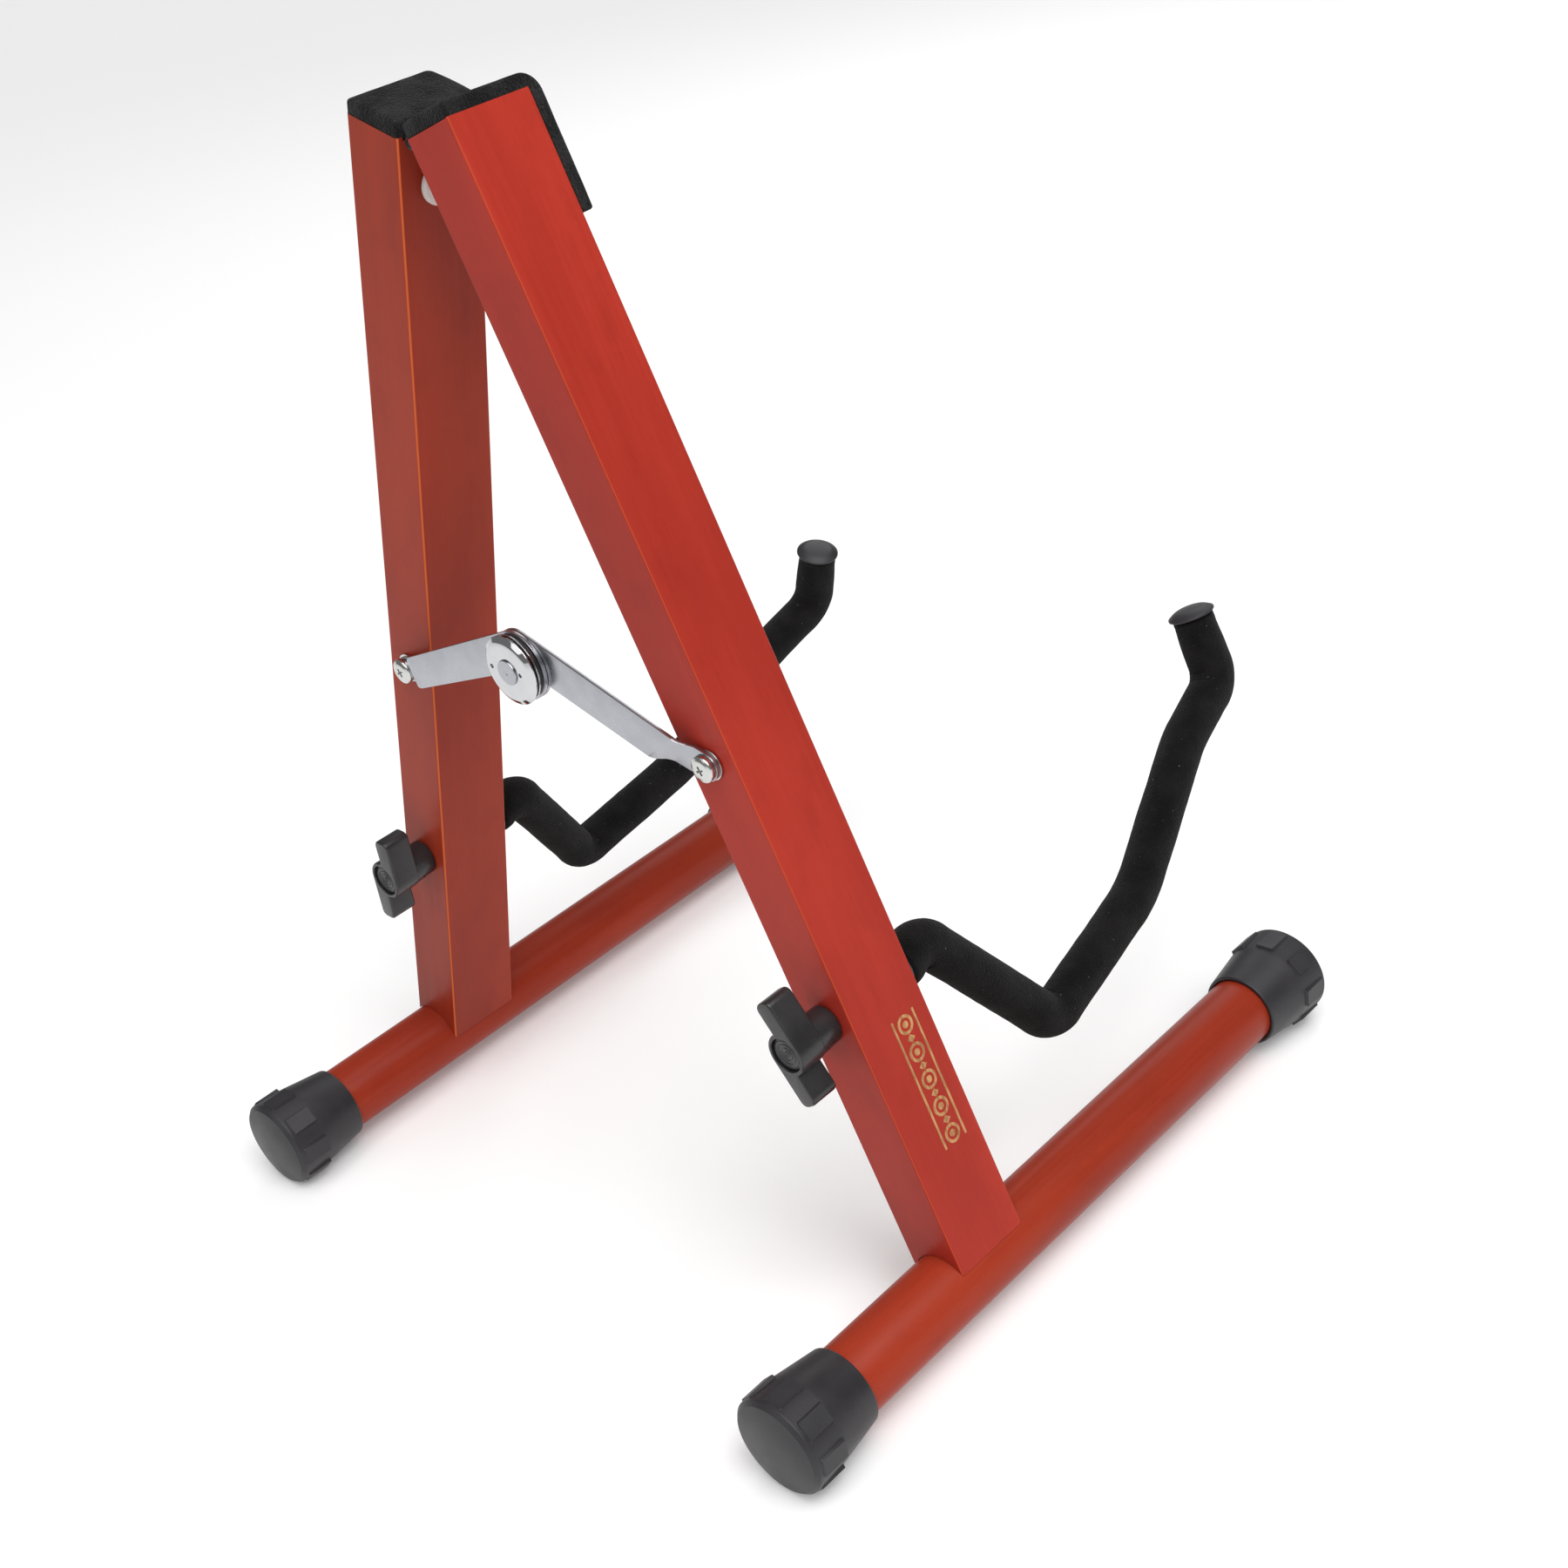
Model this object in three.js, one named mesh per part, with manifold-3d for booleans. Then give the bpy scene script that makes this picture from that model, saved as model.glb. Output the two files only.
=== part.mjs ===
// A folding wooden A-frame stand for a guitar.
//
// Millimetres, +Z up. The stand's front, where the guitar sits, faces -Y and its wing knobs face +Y.
// The origin is on the floor, in the middle of the stand's outline.
// "left" is the -X side and "right" the +X side, as seen from the front.

import * as THREE from 'three';
import { mergeVertices } from 'three/addons/utils/BufferGeometryUtils.js';
import Module from 'manifold-3d';

const wasm = await Module();
wasm.setup();

// ---------------------------------------------------------------- driving dimensions

const degrees = Math.PI / 180;
const gap = 0.3; // clearance between pieces that touch
const thinGap = 0.2; // clearance between flat plates in a stack
const sides = [{ name: 'left', sign: -1 }, { name: 'right', sign: 1 }];

// side frames: a leg coped onto a round base bar
const splay = 18.2 * degrees; // lean of each leg towards the other
const legLength = 450; // base bar's axis to the leg's top end
const legThickness = 26; // across the stand
const legDepth = 35; // front to back
const legEdgeRadius = 1;
const topGap = 5; // between the legs' inner edges at the top
const barRadius = 14.6;
const barFront = 180; // visible bar in front of the legs' middle plane, up to the cap's mouth
const barBack = 75.5; // and behind it

// rubber end caps
const capLength = 38.5;
const capInside = 33; // how far the bar goes into the cap
const capMouthRadius = 16.4;
const capFlareRadius = 19.4;
const capPadReach = 20.4; // bar axis to the flat outer face of a raised pad
const capPadCount = 8;
const capPadStart = 21; // from the mouth
const capPadLength = 11;

// cradle arms: a bent steel rod in a foam sleeve, in the plane of each side frame
const cradleHeight = 116; // up the leg from the bar's axis
const cradleTipReach = 239; // the rod's upright end, in front of the legs' middle plane
const cradleTip = 43; // the sleeve's upper end, above the rod's hole
const cradleBend = 80; // the low bend that holds the guitar, in front of the legs' middle plane
const rightSetback = 6; // the right rod is bent a little shorter than the left one
const rightDroop = 6.5; // and its tip stands lower
const rodRadius = 4;
const sleeveRadius = 9.5;
const sleeveBore = 5;
const tipCapHeight = 2.6;
const collarThickness = 3;

// wing knobs
const knobBodyBack = 40; // the knob's face, from the legs' middle plane
const knobBodyDepth = 12;
const knobHubRadius = 8.6;
const knobWingReach = 21;
const knobWingWidth = 7.4;
const knobTwist = 15 * degrees;
const knobBossRadius = 8.4;

// folding stay behind the legs
const stayHeight = 221; // its pivots, up the leg from the bar's axis
const hubRise = 23.6; // the hub's height above the pivots when the stand is open
const hubRadius = 13.9;
const plateThickness = 1.5;
const tabLevel = 18.8; // rear face of each arm's screw end, from the legs' middle plane
const leftPlateLevel = 22.8; // rear face of the left arm at the hub
const rightPlateLevel = 24.5;

// top hinge and pads
const hingeDrop = 2; // pin below the legs' inner top edges
const knuckleRadius = 2.3;
const pinRadius = 1;
const leafLength = 30;
const leafThickness = 1.2;
const leafReach = 19; // from the leg's inner face outwards
const padThickness = 4.8;
const padFlap = 43; // length of the pad down the leg's front face
const padCornerRadius = 5.5;

// white bumper on the right leg's inner face, which meets the left leg when the stand is folded
const bumperRadius = 8;
const bumperHeight = 3;
const bumperBelowTop = 20;

// ---------------------------------------------------------------- derived places

const legHalf = legThickness / 2;
const legFace = legDepth / 2;
const barX = topGap / 2 + legLength * Math.sin(splay) + legHalf * Math.cos(splay);
const barHeight = capPadReach;
const frontReach = cradleTipReach + sleeveRadius;
const backReach = barBack + capLength;
const legPlaneY = (frontReach - backReach) / 2;
const hingeOffset = (topGap / 2) * Math.cos(splay) + hingeDrop * Math.sin(splay);
const hingeBelowTop = hingeDrop * Math.cos(splay) - (topGap / 2) * Math.sin(splay);

// ---------------------------------------------------------------- materials

const material = (color, roughness, metalness) => new THREE.MeshStandardMaterial({
  color, roughness, metalness,
});
const stainedWood = material('#a23c31', 0.35, 0);
const blackRubber = material('#3f3d40', 0.75, 0);
const blackFoam = material('#222021', 0.95, 0);
const blackPlastic = material('#353437', 0.5, 0);
const brightPlate = material('#cfd0d4', 0.2, 1);
const plainSteel = material('#9a9a9c', 0.4, 1);
const whiteFelt = material('#e2dcd5', 0.9, 0);

// ---------------------------------------------------------------- solids and booleans

/** Closed three.js geometry to a manifold solid. */
function toSolid(geometry) {
  const bare = geometry.clone();
  bare.deleteAttribute('normal');
  bare.deleteAttribute('uv');
  const merged = mergeVertices(bare, 1e-4);
  const index = merged.index.array;
  const kept = [];
  for (let i = 0; i < index.length; i += 3) {
    const [a, b, c] = [index[i], index[i + 1], index[i + 2]];
    if (a !== b && b !== c && c !== a) kept.push(a, b, c);
  }
  return new wasm.Manifold(new wasm.Mesh({
    numProp: 3,
    vertProperties: new Float32Array(merged.attributes.position.array),
    triVerts: new Uint32Array(kept),
  }));
}

/** Manifold solid back to a three.js geometry. */
function toGeometry(solid) {
  const mesh = solid.getMesh();
  const geometry = new THREE.BufferGeometry();
  geometry.setAttribute('position', new THREE.BufferAttribute(new Float32Array(mesh.vertProperties), 3));
  geometry.setIndex(new THREE.BufferAttribute(new Uint32Array(mesh.triVerts), 1));
  return geometry;
}

const cut = (base, tools) => toGeometry(
  tools.reduce((solid, tool) => solid.subtract(toSolid(tool)), toSolid(base)),
);

const join = (base, others) => toGeometry(
  others.reduce((solid, other) => solid.add(toSolid(other)), toSolid(base)),
);

const overlapOf = (a, b) => toGeometry(toSolid(a).intersect(toSolid(b)));

// ---------------------------------------------------------------- shape helpers

const stepsPerBend = 4;

/** Cylinder along Y between two stations. */
function rodAlongY(radius, from, to, segments = 24) {
  const geometry = new THREE.CylinderGeometry(radius, radius, Math.abs(to - from), segments);
  return geometry.translate(0, (from + to) / 2, 0);
}

/** Box from its lowest to its highest corner. */
function boxBetween(low, high) {
  const size = high.map((value, i) => value - low[i]);
  const middle = high.map((value, i) => (value + low[i]) / 2);
  return new THREE.BoxGeometry(...size).translate(...middle);
}

/** Outline revolved about Y; points are [radius, station] and run round the solid anticlockwise. */
function turned(outline, segments = 32) {
  return new THREE.LatheGeometry(outline.map(([r, y]) => new THREE.Vector2(r, y)), segments);
}

/** Flat outline given in X and Z, extruded along Y from one station to another. */
function slabAlongY(shape, from, to, curveSegments = 8) {
  const geometry = new THREE.ExtrudeGeometry(shape, {
    depth: to - from, bevelEnabled: false, curveSegments,
  });
  return geometry.rotateX(Math.PI / 2).translate(0, to, 0);
}

/** Rectangle with rounded corners, centred on the origin. */
function roundedRectangle(width, height, radius) {
  const [x, y] = [width / 2 - radius, height / 2 - radius];
  const shape = new THREE.Shape();
  shape.moveTo(-x, -y - radius);
  shape.lineTo(x, -y - radius);
  shape.absarc(x, -y, radius, -Math.PI / 2, 0);
  shape.absarc(x, y, radius, 0, Math.PI / 2);
  shape.absarc(-x, y, radius, Math.PI / 2, Math.PI);
  shape.absarc(-x, -y, radius, Math.PI, 1.5 * Math.PI);
  return shape;
}

/**
 * Points along a line whose corners are rounded, in the side frame's plane.
 * Corners are [forward, up, bend radius]; the first and last have no bend.
 */
function bentLine(corners) {
  const points = corners.map(([forward, up]) => new THREE.Vector3(0, -forward, up));
  const direction = (i) => points[i + 1].clone().sub(points[i]).normalize();
  const path = new THREE.CurvePath();
  let last = points[0];
  for (let i = 1; i < points.length - 1; i += 1) {
    const setback = corners[i][2] * Math.tan(direction(i - 1).angleTo(direction(i)) / 2);
    const begin = points[i].clone().addScaledVector(direction(i - 1), -setback);
    const end = points[i].clone().addScaledVector(direction(i), setback);
    path.add(new THREE.LineCurve3(last, begin));
    path.add(new THREE.QuadraticBezierCurve3(begin, points[i], end));
    last = end;
  }
  path.add(new THREE.LineCurve3(last, points[points.length - 1]));
  return path.getPoints(stepsPerBend);
}

/** Round bar that follows a line of points in the X = 0 plane. */
function sweptRound(points, radius, segments) {
  const last = points.length - 1;
  const geometry = new THREE.CylinderGeometry(radius, radius, last, segments, last);
  const position = geometry.attributes.position;
  const direction = (i) => points[i + 1].clone().sub(points[i]).normalize();
  for (let i = 0; i < position.count; i += 1) {
    const at = Math.round(position.getY(i) + last / 2);
    const along = direction(Math.max(at - 1, 0)).add(direction(Math.min(at, last - 1))).normalize();
    const across = new THREE.Vector3(0, -along.z, along.y);
    const place = points[at].clone().addScaledVector(across, position.getZ(i));
    position.setXYZ(i, position.getX(i), place.y, place.z);
  }
  return geometry;
}

/** Ring between two stations along Y. */
function ringPlate(inner, outer, from, to) {
  return turned([[inner, from], [outer, from], [outer, to], [inner, to], [inner, from]], 28);
}

/** Mirror of a geometry across the X = 0 plane, with its faces still pointing out. */
function mirrored(geometry) {
  const source = (geometry.index ? geometry.toNonIndexed() : geometry).attributes.position;
  const corners = [];
  for (let i = 0; i < source.count; i += 3) {
    for (const corner of [i + 2, i + 1, i]) {
      corners.push(-source.getX(corner), source.getY(corner), source.getZ(corner));
    }
  }
  const result = new THREE.BufferGeometry();
  result.setAttribute('position', new THREE.Float32BufferAttribute(corners, 3));
  return result;
}

/** Countersunk wood screw along -Z, its head's face at z = 0; grown makes the void that clears it. */
function countersunkScrew(headRadius, shankRadius, length, grown = 0) {
  const cone = headRadius - shankRadius;
  const tip = 2 * shankRadius;
  return turned([
    [0, -length - grown],
    [shankRadius + grown, -length + tip],
    [shankRadius + grown, -cone],
    [headRadius + grown, 0],
    [headRadius + grown, grown],
    [0, grown],
  ], 14).rotateX(Math.PI / 2);
}

const stand = new THREE.Group();

/** Named mesh added to a group. */
function addPiece(group, name, geometry, look) {
  const mesh = new THREE.Mesh(geometry, look);
  mesh.name = name;
  group.add(mesh);
  return mesh;
}

// ---------------------------------------------------------------- side frames

const hingeScrewStations = [-9, 9];
const hingeScrewOffset = 1; // outwards from the leg's middle
const hingeScrew = { head: 3, shank: 1.5, length: 20 };
const barScrewStations = [-9, 9];
const barScrew = { head: 4.5, shank: 2, length: 62 };
const barScrewDepth = barRadius - 1.2; // the head sits just inside the bar
const stayScrewRadius = 2;
const stayScrewDepth = 16;
const rodBore = rodRadius + 0.5;

/** Screw geometry turned to point up the leg from below the bar. */
function barScrewSolid(grown) {
  return countersunkScrew(barScrew.head, barScrew.shank, barScrew.length, grown)
    .rotateX(Math.PI)
    .translate(0, 0, -barScrewDepth);
}

/** Mortise for a hinge leaf in the leg's top end, open towards the other leg. */
function leafMortise(sign) {
  const inner = -sign * (legHalf + 1);
  const outer = -sign * (legHalf - leafReach - gap);
  return boxBetween(
    [Math.min(inner, outer), -leafLength / 2 - gap, legLength - leafThickness - gap],
    [Math.max(inner, outer), leafLength / 2 + gap, legLength + 1],
  );
}

function leg(sign) {
  const section = roundedRectangle(legThickness, legDepth, legEdgeRadius);
  const blank = new THREE.ExtrudeGeometry(section, {
    depth: legLength, bevelEnabled: false, curveSegments: 3,
  });
  const tools = [
    rodAlongY(barRadius + gap, -legDepth, legDepth, 48),
    leafMortise(sign),
    rodAlongY(rodBore, -legDepth, legDepth, 12).translate(0, 0, cradleHeight),
  ];
  for (const station of hingeScrewStations) {
    tools.push(countersunkScrew(hingeScrew.head, hingeScrew.shank, hingeScrew.length, gap)
      .translate(sign * hingeScrewOffset, station, legLength));
  }
  for (const station of barScrewStations) {
    tools.push(barScrewSolid(gap).translate(0, station, 0));
  }
  if (sign < 0) {
    tools.push(rodAlongY(stayScrewRadius + gap, legFace - stayScrewDepth - 1, legDepth, 12)
      .translate(0, 0, stayHeight));
  }
  return cut(blank, tools);
}

function baseBar() {
  const blank = rodAlongY(barRadius, -barFront - capInside, barBack + capInside, 48);
  return cut(blank, barScrewStations.map((station) => barScrewSolid(gap).translate(0, station, 0)));
}

/** Rubber cap with its mouth at y = 0 and its closed end towards +Y. */
function endCap() {
  const bore = barRadius + gap;
  const shoulder = capLength - 3;
  const body = turned([
    [0, capInside + gap],
    [bore, capInside + gap],
    [bore, 0],
    [capMouthRadius - 0.8, 0],
    [capMouthRadius, 0.8],
    [capFlareRadius, capPadStart],
    [capFlareRadius, shoulder],
    [capFlareRadius - 1.6, shoulder + 1.6],
    [capFlareRadius / 2, capLength - 0.4],
    [0, capLength],
  ], 24);
  const padHalf = capPadReach * Math.sin(Math.PI / capPadCount / 2);
  const pads = [];
  for (let i = 0; i < capPadCount; i += 1) {
    pads.push(boxBetween(
      [-padHalf, capPadStart, -capPadReach],
      [padHalf, capPadStart + capPadLength, -barRadius - 1],
    ).rotateY((i * 2 * Math.PI) / capPadCount));
  }
  return join(body, pads);
}

/** Foam pad over the leg's top end, its front corner and the top of its front face. */
function topPad() {
  const inside = legFace + gap;
  const outside = inside + padThickness;
  const base = legLength + gap;
  const top = base + padThickness;
  const shape = new THREE.Shape();
  shape.moveTo(-legFace, base);
  shape.lineTo(inside, base);
  shape.lineTo(inside, legLength - padFlap);
  shape.lineTo(outside, legLength - padFlap);
  shape.lineTo(outside, top - padCornerRadius);
  shape.absarc(outside - padCornerRadius, top - padCornerRadius, padCornerRadius, 0, Math.PI / 2);
  shape.lineTo(-legFace, top);
  const geometry = new THREE.ExtrudeGeometry(shape, {
    depth: legThickness, bevelEnabled: false, curveSegments: 5,
  });
  // the outline's x runs towards the front and its y up the leg
  const turn = new THREE.Matrix4().makeBasis(
    new THREE.Vector3(0, -1, 0), new THREE.Vector3(0, 0, 1), new THREE.Vector3(-1, 0, 0),
  );
  return geometry.applyMatrix4(turn).translate(legHalf, 0, 0);
}

// ---------------------------------------------------------------- top hinge

const knuckleSplit = leafLength / 6; // the right leaf's single knuckle is the middle third

function hingeLeaf(sign) {
  const pinX = -sign * (legHalf + hingeOffset);
  const pinZ = legLength - hingeBelowTop;
  const inner = -sign * (legHalf - 0.6);
  const outer = -sign * (legHalf - leafReach);
  const plate = boxBetween(
    [Math.min(inner, outer), -leafLength / 2, legLength - leafThickness],
    [Math.max(inner, outer), leafLength / 2, legLength],
  );
  const spans = sign > 0
    ? [[-knuckleSplit + thinGap, knuckleSplit - thinGap]]
    : [[-leafLength / 2, -knuckleSplit - thinGap], [knuckleSplit + thinGap, leafLength / 2]];
  const additions = [];
  for (const [from, to] of spans) {
    additions.push(rodAlongY(knuckleRadius, from, to, 16).translate(pinX, 0, pinZ));
    additions.push(boxBetween(
      [Math.min(pinX, inner), from, legLength - leafThickness],
      [Math.max(pinX, inner) + 0.1, to, legLength],
    ));
  }
  const pinHole = rodAlongY(pinRadius + gap, -leafLength, leafLength, 12).translate(pinX, 0, pinZ);
  const screwHoles = hingeScrewStations.map((station) => (
    countersunkScrew(hingeScrew.head, hingeScrew.shank, hingeScrew.length, gap)
      .translate(sign * hingeScrewOffset, station, legLength)
  ));
  return cut(join(plate, additions), [pinHole, ...screwHoles]);
}

// ---------------------------------------------------------------- cradle arms

/**
 * Corners of the rod: forward from the legs' middle plane, up from the rod's own hole, bend radius.
 * Past its first hump the right rod is set back, and it droops from its low bend to its tip.
 */
function cradleCorners(side) {
  const [setback, droop] = side === 'right' ? [rightSetback, rightDroop] : [0, 0];
  const placed = (forward, up, radius) => {
    const share = Math.max(forward - cradleBend, 0) / (cradleTipReach - cradleBend);
    return [forward - setback, up - droop * share, radius];
  };
  return [
    [23, 0, 9],
    [35.5 - setback / 4, 4.5, 10.5],
    placed(cradleBend, -58.5, 13),
    placed(148.5, -41, 60),
    placed(206.5, -0.5, 50),
    placed(cradleTipReach, 12.5, 13),
    placed(cradleTipReach, cradleTip, 0),
  ];
}

const rodInKnob = 13; // threaded length behind the leg
const collarStart = legFace + gap;
const sleeveStart = collarStart + collarThickness + gap;

/** The rod's line from a start on its hole's axis to a place short of or beyond the sleeve's upper end. */
function cradleLine(side, startForward, beyond) {
  const corners = cradleCorners(side);
  corners[corners.length - 1][1] += beyond;
  return bentLine([[startForward, 0, 0], ...corners]);
}

const rodShortfall = 9; // the rod ends inside the sleeve, below its tip cap
const cradleRod = (side) => (
  sweptRound(cradleLine(side, -legFace - rodInKnob, -rodShortfall), rodRadius, 8)
);

function foamSleeve(side) {
  const foam = sweptRound(cradleLine(side, sleeveStart, 0), sleeveRadius, 12);
  const bore = sweptRound(cradleLine(side, sleeveStart - 1, 1), sleeveBore, 8);
  return cut(foam, [bore]);
}

function cradleCollar() {
  return turned([
    [rodBore, -collarStart - collarThickness],
    [sleeveRadius - 0.8, -collarStart - collarThickness],
    [sleeveRadius, -collarStart - collarThickness + 0.8],
    [sleeveRadius, -collarStart],
    [rodBore, -collarStart],
    [rodBore, -collarStart - collarThickness],
  ], 24);
}

/** Push-in cap that closes the sleeve's upper end. */
function tipCap(side) {
  const [forward, top] = cradleCorners(side).at(-1);
  const seat = top + gap;
  return turned([
    [0, seat - 8],
    [sleeveBore - 1, seat - 8],
    [sleeveBore - 1, seat],
    [sleeveRadius, seat],
    [sleeveRadius, seat + 1.2],
    [sleeveRadius - 1.4, seat + tipCapHeight - 0.3],
    [0, seat + tipCapHeight],
  ], 24).rotateX(Math.PI / 2).translate(0, -forward, 0);
}

// ---------------------------------------------------------------- wing knobs

const insertRadius = 6;
const insertLength = 11;
const knobSeat = legFace + gap;
const knobFaceRecess = 2.2;
const knobDiscRadius = 6.6;
const knobHoleEnd = 35;

/** S-shaped outline: a round hub with one wing up its right edge and one down its left edge. */
function wingOutline() {
  const inner = knobHubRadius - knobWingWidth;
  const corner = 2.6;
  const shape = new THREE.Shape();
  const halfTurn = (sign) => {
    shape.lineTo(sign * knobHubRadius, sign * (knobWingReach - corner));
    shape.quadraticCurveTo(
      sign * knobHubRadius, sign * knobWingReach,
      sign * (knobHubRadius - corner), sign * knobWingReach,
    );
    shape.lineTo(sign * (inner + corner), sign * knobWingReach);
    shape.quadraticCurveTo(
      sign * inner, sign * knobWingReach, sign * inner, sign * (knobWingReach - corner),
    );
    const meet = Math.acos(inner / knobHubRadius);
    const begin = sign > 0 ? meet : meet + Math.PI;
    const end = sign > 0 ? Math.PI : 2 * Math.PI;
    shape.absarc(0, 0, knobHubRadius, begin, end, false);
  };
  shape.moveTo(knobHubRadius, 0);
  halfTurn(1);
  halfTurn(-1);
  return shape;
}

/** Wing knob on its boss, with its upper wing on the viewer's right from behind the stand. */
function wingKnob() {
  const fromFront = slabAlongY(wingOutline(), knobBodyBack - knobBodyDepth, knobBodyBack, 5);
  const wings = mirrored(fromFront).rotateY(knobTwist);
  const boss = rodAlongY(knobBossRadius, knobSeat, knobBodyBack - 1, 24);
  return cut(join(boss, [wings]), [
    rodAlongY(knobDiscRadius + gap, knobBodyBack - knobFaceRecess, knobBodyBack + 1, 24),
    rodAlongY(insertRadius + gap, knobSeat - 1, knobSeat + insertLength + gap, 16),
    rodAlongY(rodBore, knobSeat, knobHoleEnd, 12),
  ]);
}

function knobInsert() {
  return turned([
    [rodBore, knobSeat + gap],
    [insertRadius, knobSeat + gap],
    [insertRadius, knobSeat + insertLength],
    [rodBore, knobSeat + insertLength],
    [rodBore, knobSeat + gap],
  ], 16);
}

/** Disc in the recess of the knob's face. */
function knobDisc() {
  const floor = knobBodyBack - knobFaceRecess + thinGap;
  return turned([
    [0, floor],
    [knobDiscRadius, floor],
    [knobDiscRadius, floor + 0.8],
    [knobDiscRadius - 0.6, floor + 1.2],
    [0, floor + 1.2],
  ], 20);
}

// ---------------------------------------------------------------- folding stay

const stayPivotX = barX - stayHeight * Math.sin(splay);
const armLength = Math.hypot(stayPivotX, hubRise);
const armRise = Math.atan2(hubRise, stayPivotX);
const hubHoleRadius = 3.6;
const rivetRadius = 3.2;
const stayWasher = { inner: 2.4, outer: 6, thickness: 0.8 };
const stayHead = { radius: 4.6, height: 2.5 };

/**
 * Flat outline of a stay arm, from its screw at the origin to the hub along +X.
 * The upper edge runs tangent to the hub's eye.
 */
function armOutline(tabEnd, tabHalf) {
  const stripStart = tabEnd + 4;
  const lower = -Math.PI + Math.asin(2.7 / hubRadius);
  const shape = new THREE.Shape();
  shape.moveTo(tabEnd, -tabHalf);
  shape.lineTo(stripStart, -tabHalf - 1);
  shape.absarc(armLength, 0, hubRadius, lower, Math.PI / 2, false);
  shape.lineTo(stripStart, tabHalf + 2);
  shape.lineTo(tabEnd, tabHalf);
  shape.absarc(0, 0, tabHalf, Math.PI / 2, 1.5 * Math.PI, false);
  for (const [x, radius] of [[0, stayScrewRadius + gap], [armLength, hubHoleRadius]]) {
    shape.holes.push(new THREE.Path().absarc(x, 0, radius, 0, 2 * Math.PI, true));
  }
  return shape;
}

/** Bent strip that carries the outline from the screw's level to the hub's level. */
function armStrip(level, rampFrom, rampTo) {
  const [low, high] = [-10, armLength + hubRadius + 2];
  const shape = new THREE.Shape();
  shape.moveTo(low, tabLevel);
  shape.lineTo(rampFrom, tabLevel);
  shape.lineTo(rampTo, level);
  shape.lineTo(high, level);
  shape.lineTo(high, level + plateThickness);
  shape.lineTo(rampTo - 0.4, level + plateThickness);
  shape.lineTo(rampFrom - 0.4, tabLevel + plateThickness);
  shape.lineTo(low, tabLevel + plateThickness);
  const geometry = new THREE.ExtrudeGeometry(shape, { depth: 50, bevelEnabled: false });
  return geometry.translate(0, 0, -25);
}

/** Stay arm pointing along +X with its screw at the origin. */
function stayArm(level, tabEnd, tabHalf, rampFrom, rampTo) {
  const [below, above] = [tabLevel - 1, level + plateThickness + 1];
  const prism = slabAlongY(armOutline(tabEnd, tabHalf), below, above, 10);
  return overlapOf(armStrip(level, rampFrom, rampTo), prism);
}

// stations of the hub's stack, from the legs' middle plane
const stack = {
  innerWasher: [26.2, 27.6],
  spacer: [27.8, 28.4],
  outerWasher: [28.6, 29.3],
  coverEdge: 29.5,
  coverTop: 31.2,
};

function hubCover() {
  const { coverEdge, coverTop } = stack;
  return turned([
    [hubHoleRadius, coverEdge],
    [hubRadius, coverEdge],
    [hubRadius, coverEdge + 0.5],
    [hubRadius - 1.8, coverTop - 0.3],
    [8, coverTop],
    [hubHoleRadius, coverTop],
    [hubHoleRadius, coverEdge],
  ], 32);
}

function hubRivet() {
  const [rear, front] = [leftPlateLevel - 1.6, stack.coverTop + thinGap];
  return turned([
    [0, rear],
    [5.2, rear],
    [5.2, leftPlateLevel - thinGap],
    [rivetRadius, leftPlateLevel - thinGap],
    [rivetRadius, front],
    [4.2, front],
    [3.8, front + 0.6],
    [0, front + 0.8],
  ], 20);
}

/** Pan-head screw along Y, its head behind the arm's tab. */
function stayScrew(shankEnd) {
  const seat = tabLevel + plateThickness + thinGap;
  return turned([
    [0, shankEnd],
    [stayScrewRadius, shankEnd],
    [stayScrewRadius, seat],
    [stayHead.radius, seat],
    [stayHead.radius, seat + stayHead.height * 0.45],
    [stayHead.radius * 0.7, seat + stayHead.height * 0.85],
    [0, seat + stayHead.height],
  ], 20);
}

function stayWasherRing() {
  const from = legFace + gap;
  return ringPlate(stayWasher.inner, stayWasher.outer, from, from + stayWasher.thickness);
}

// ---------------------------------------------------------------- assembly

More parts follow.
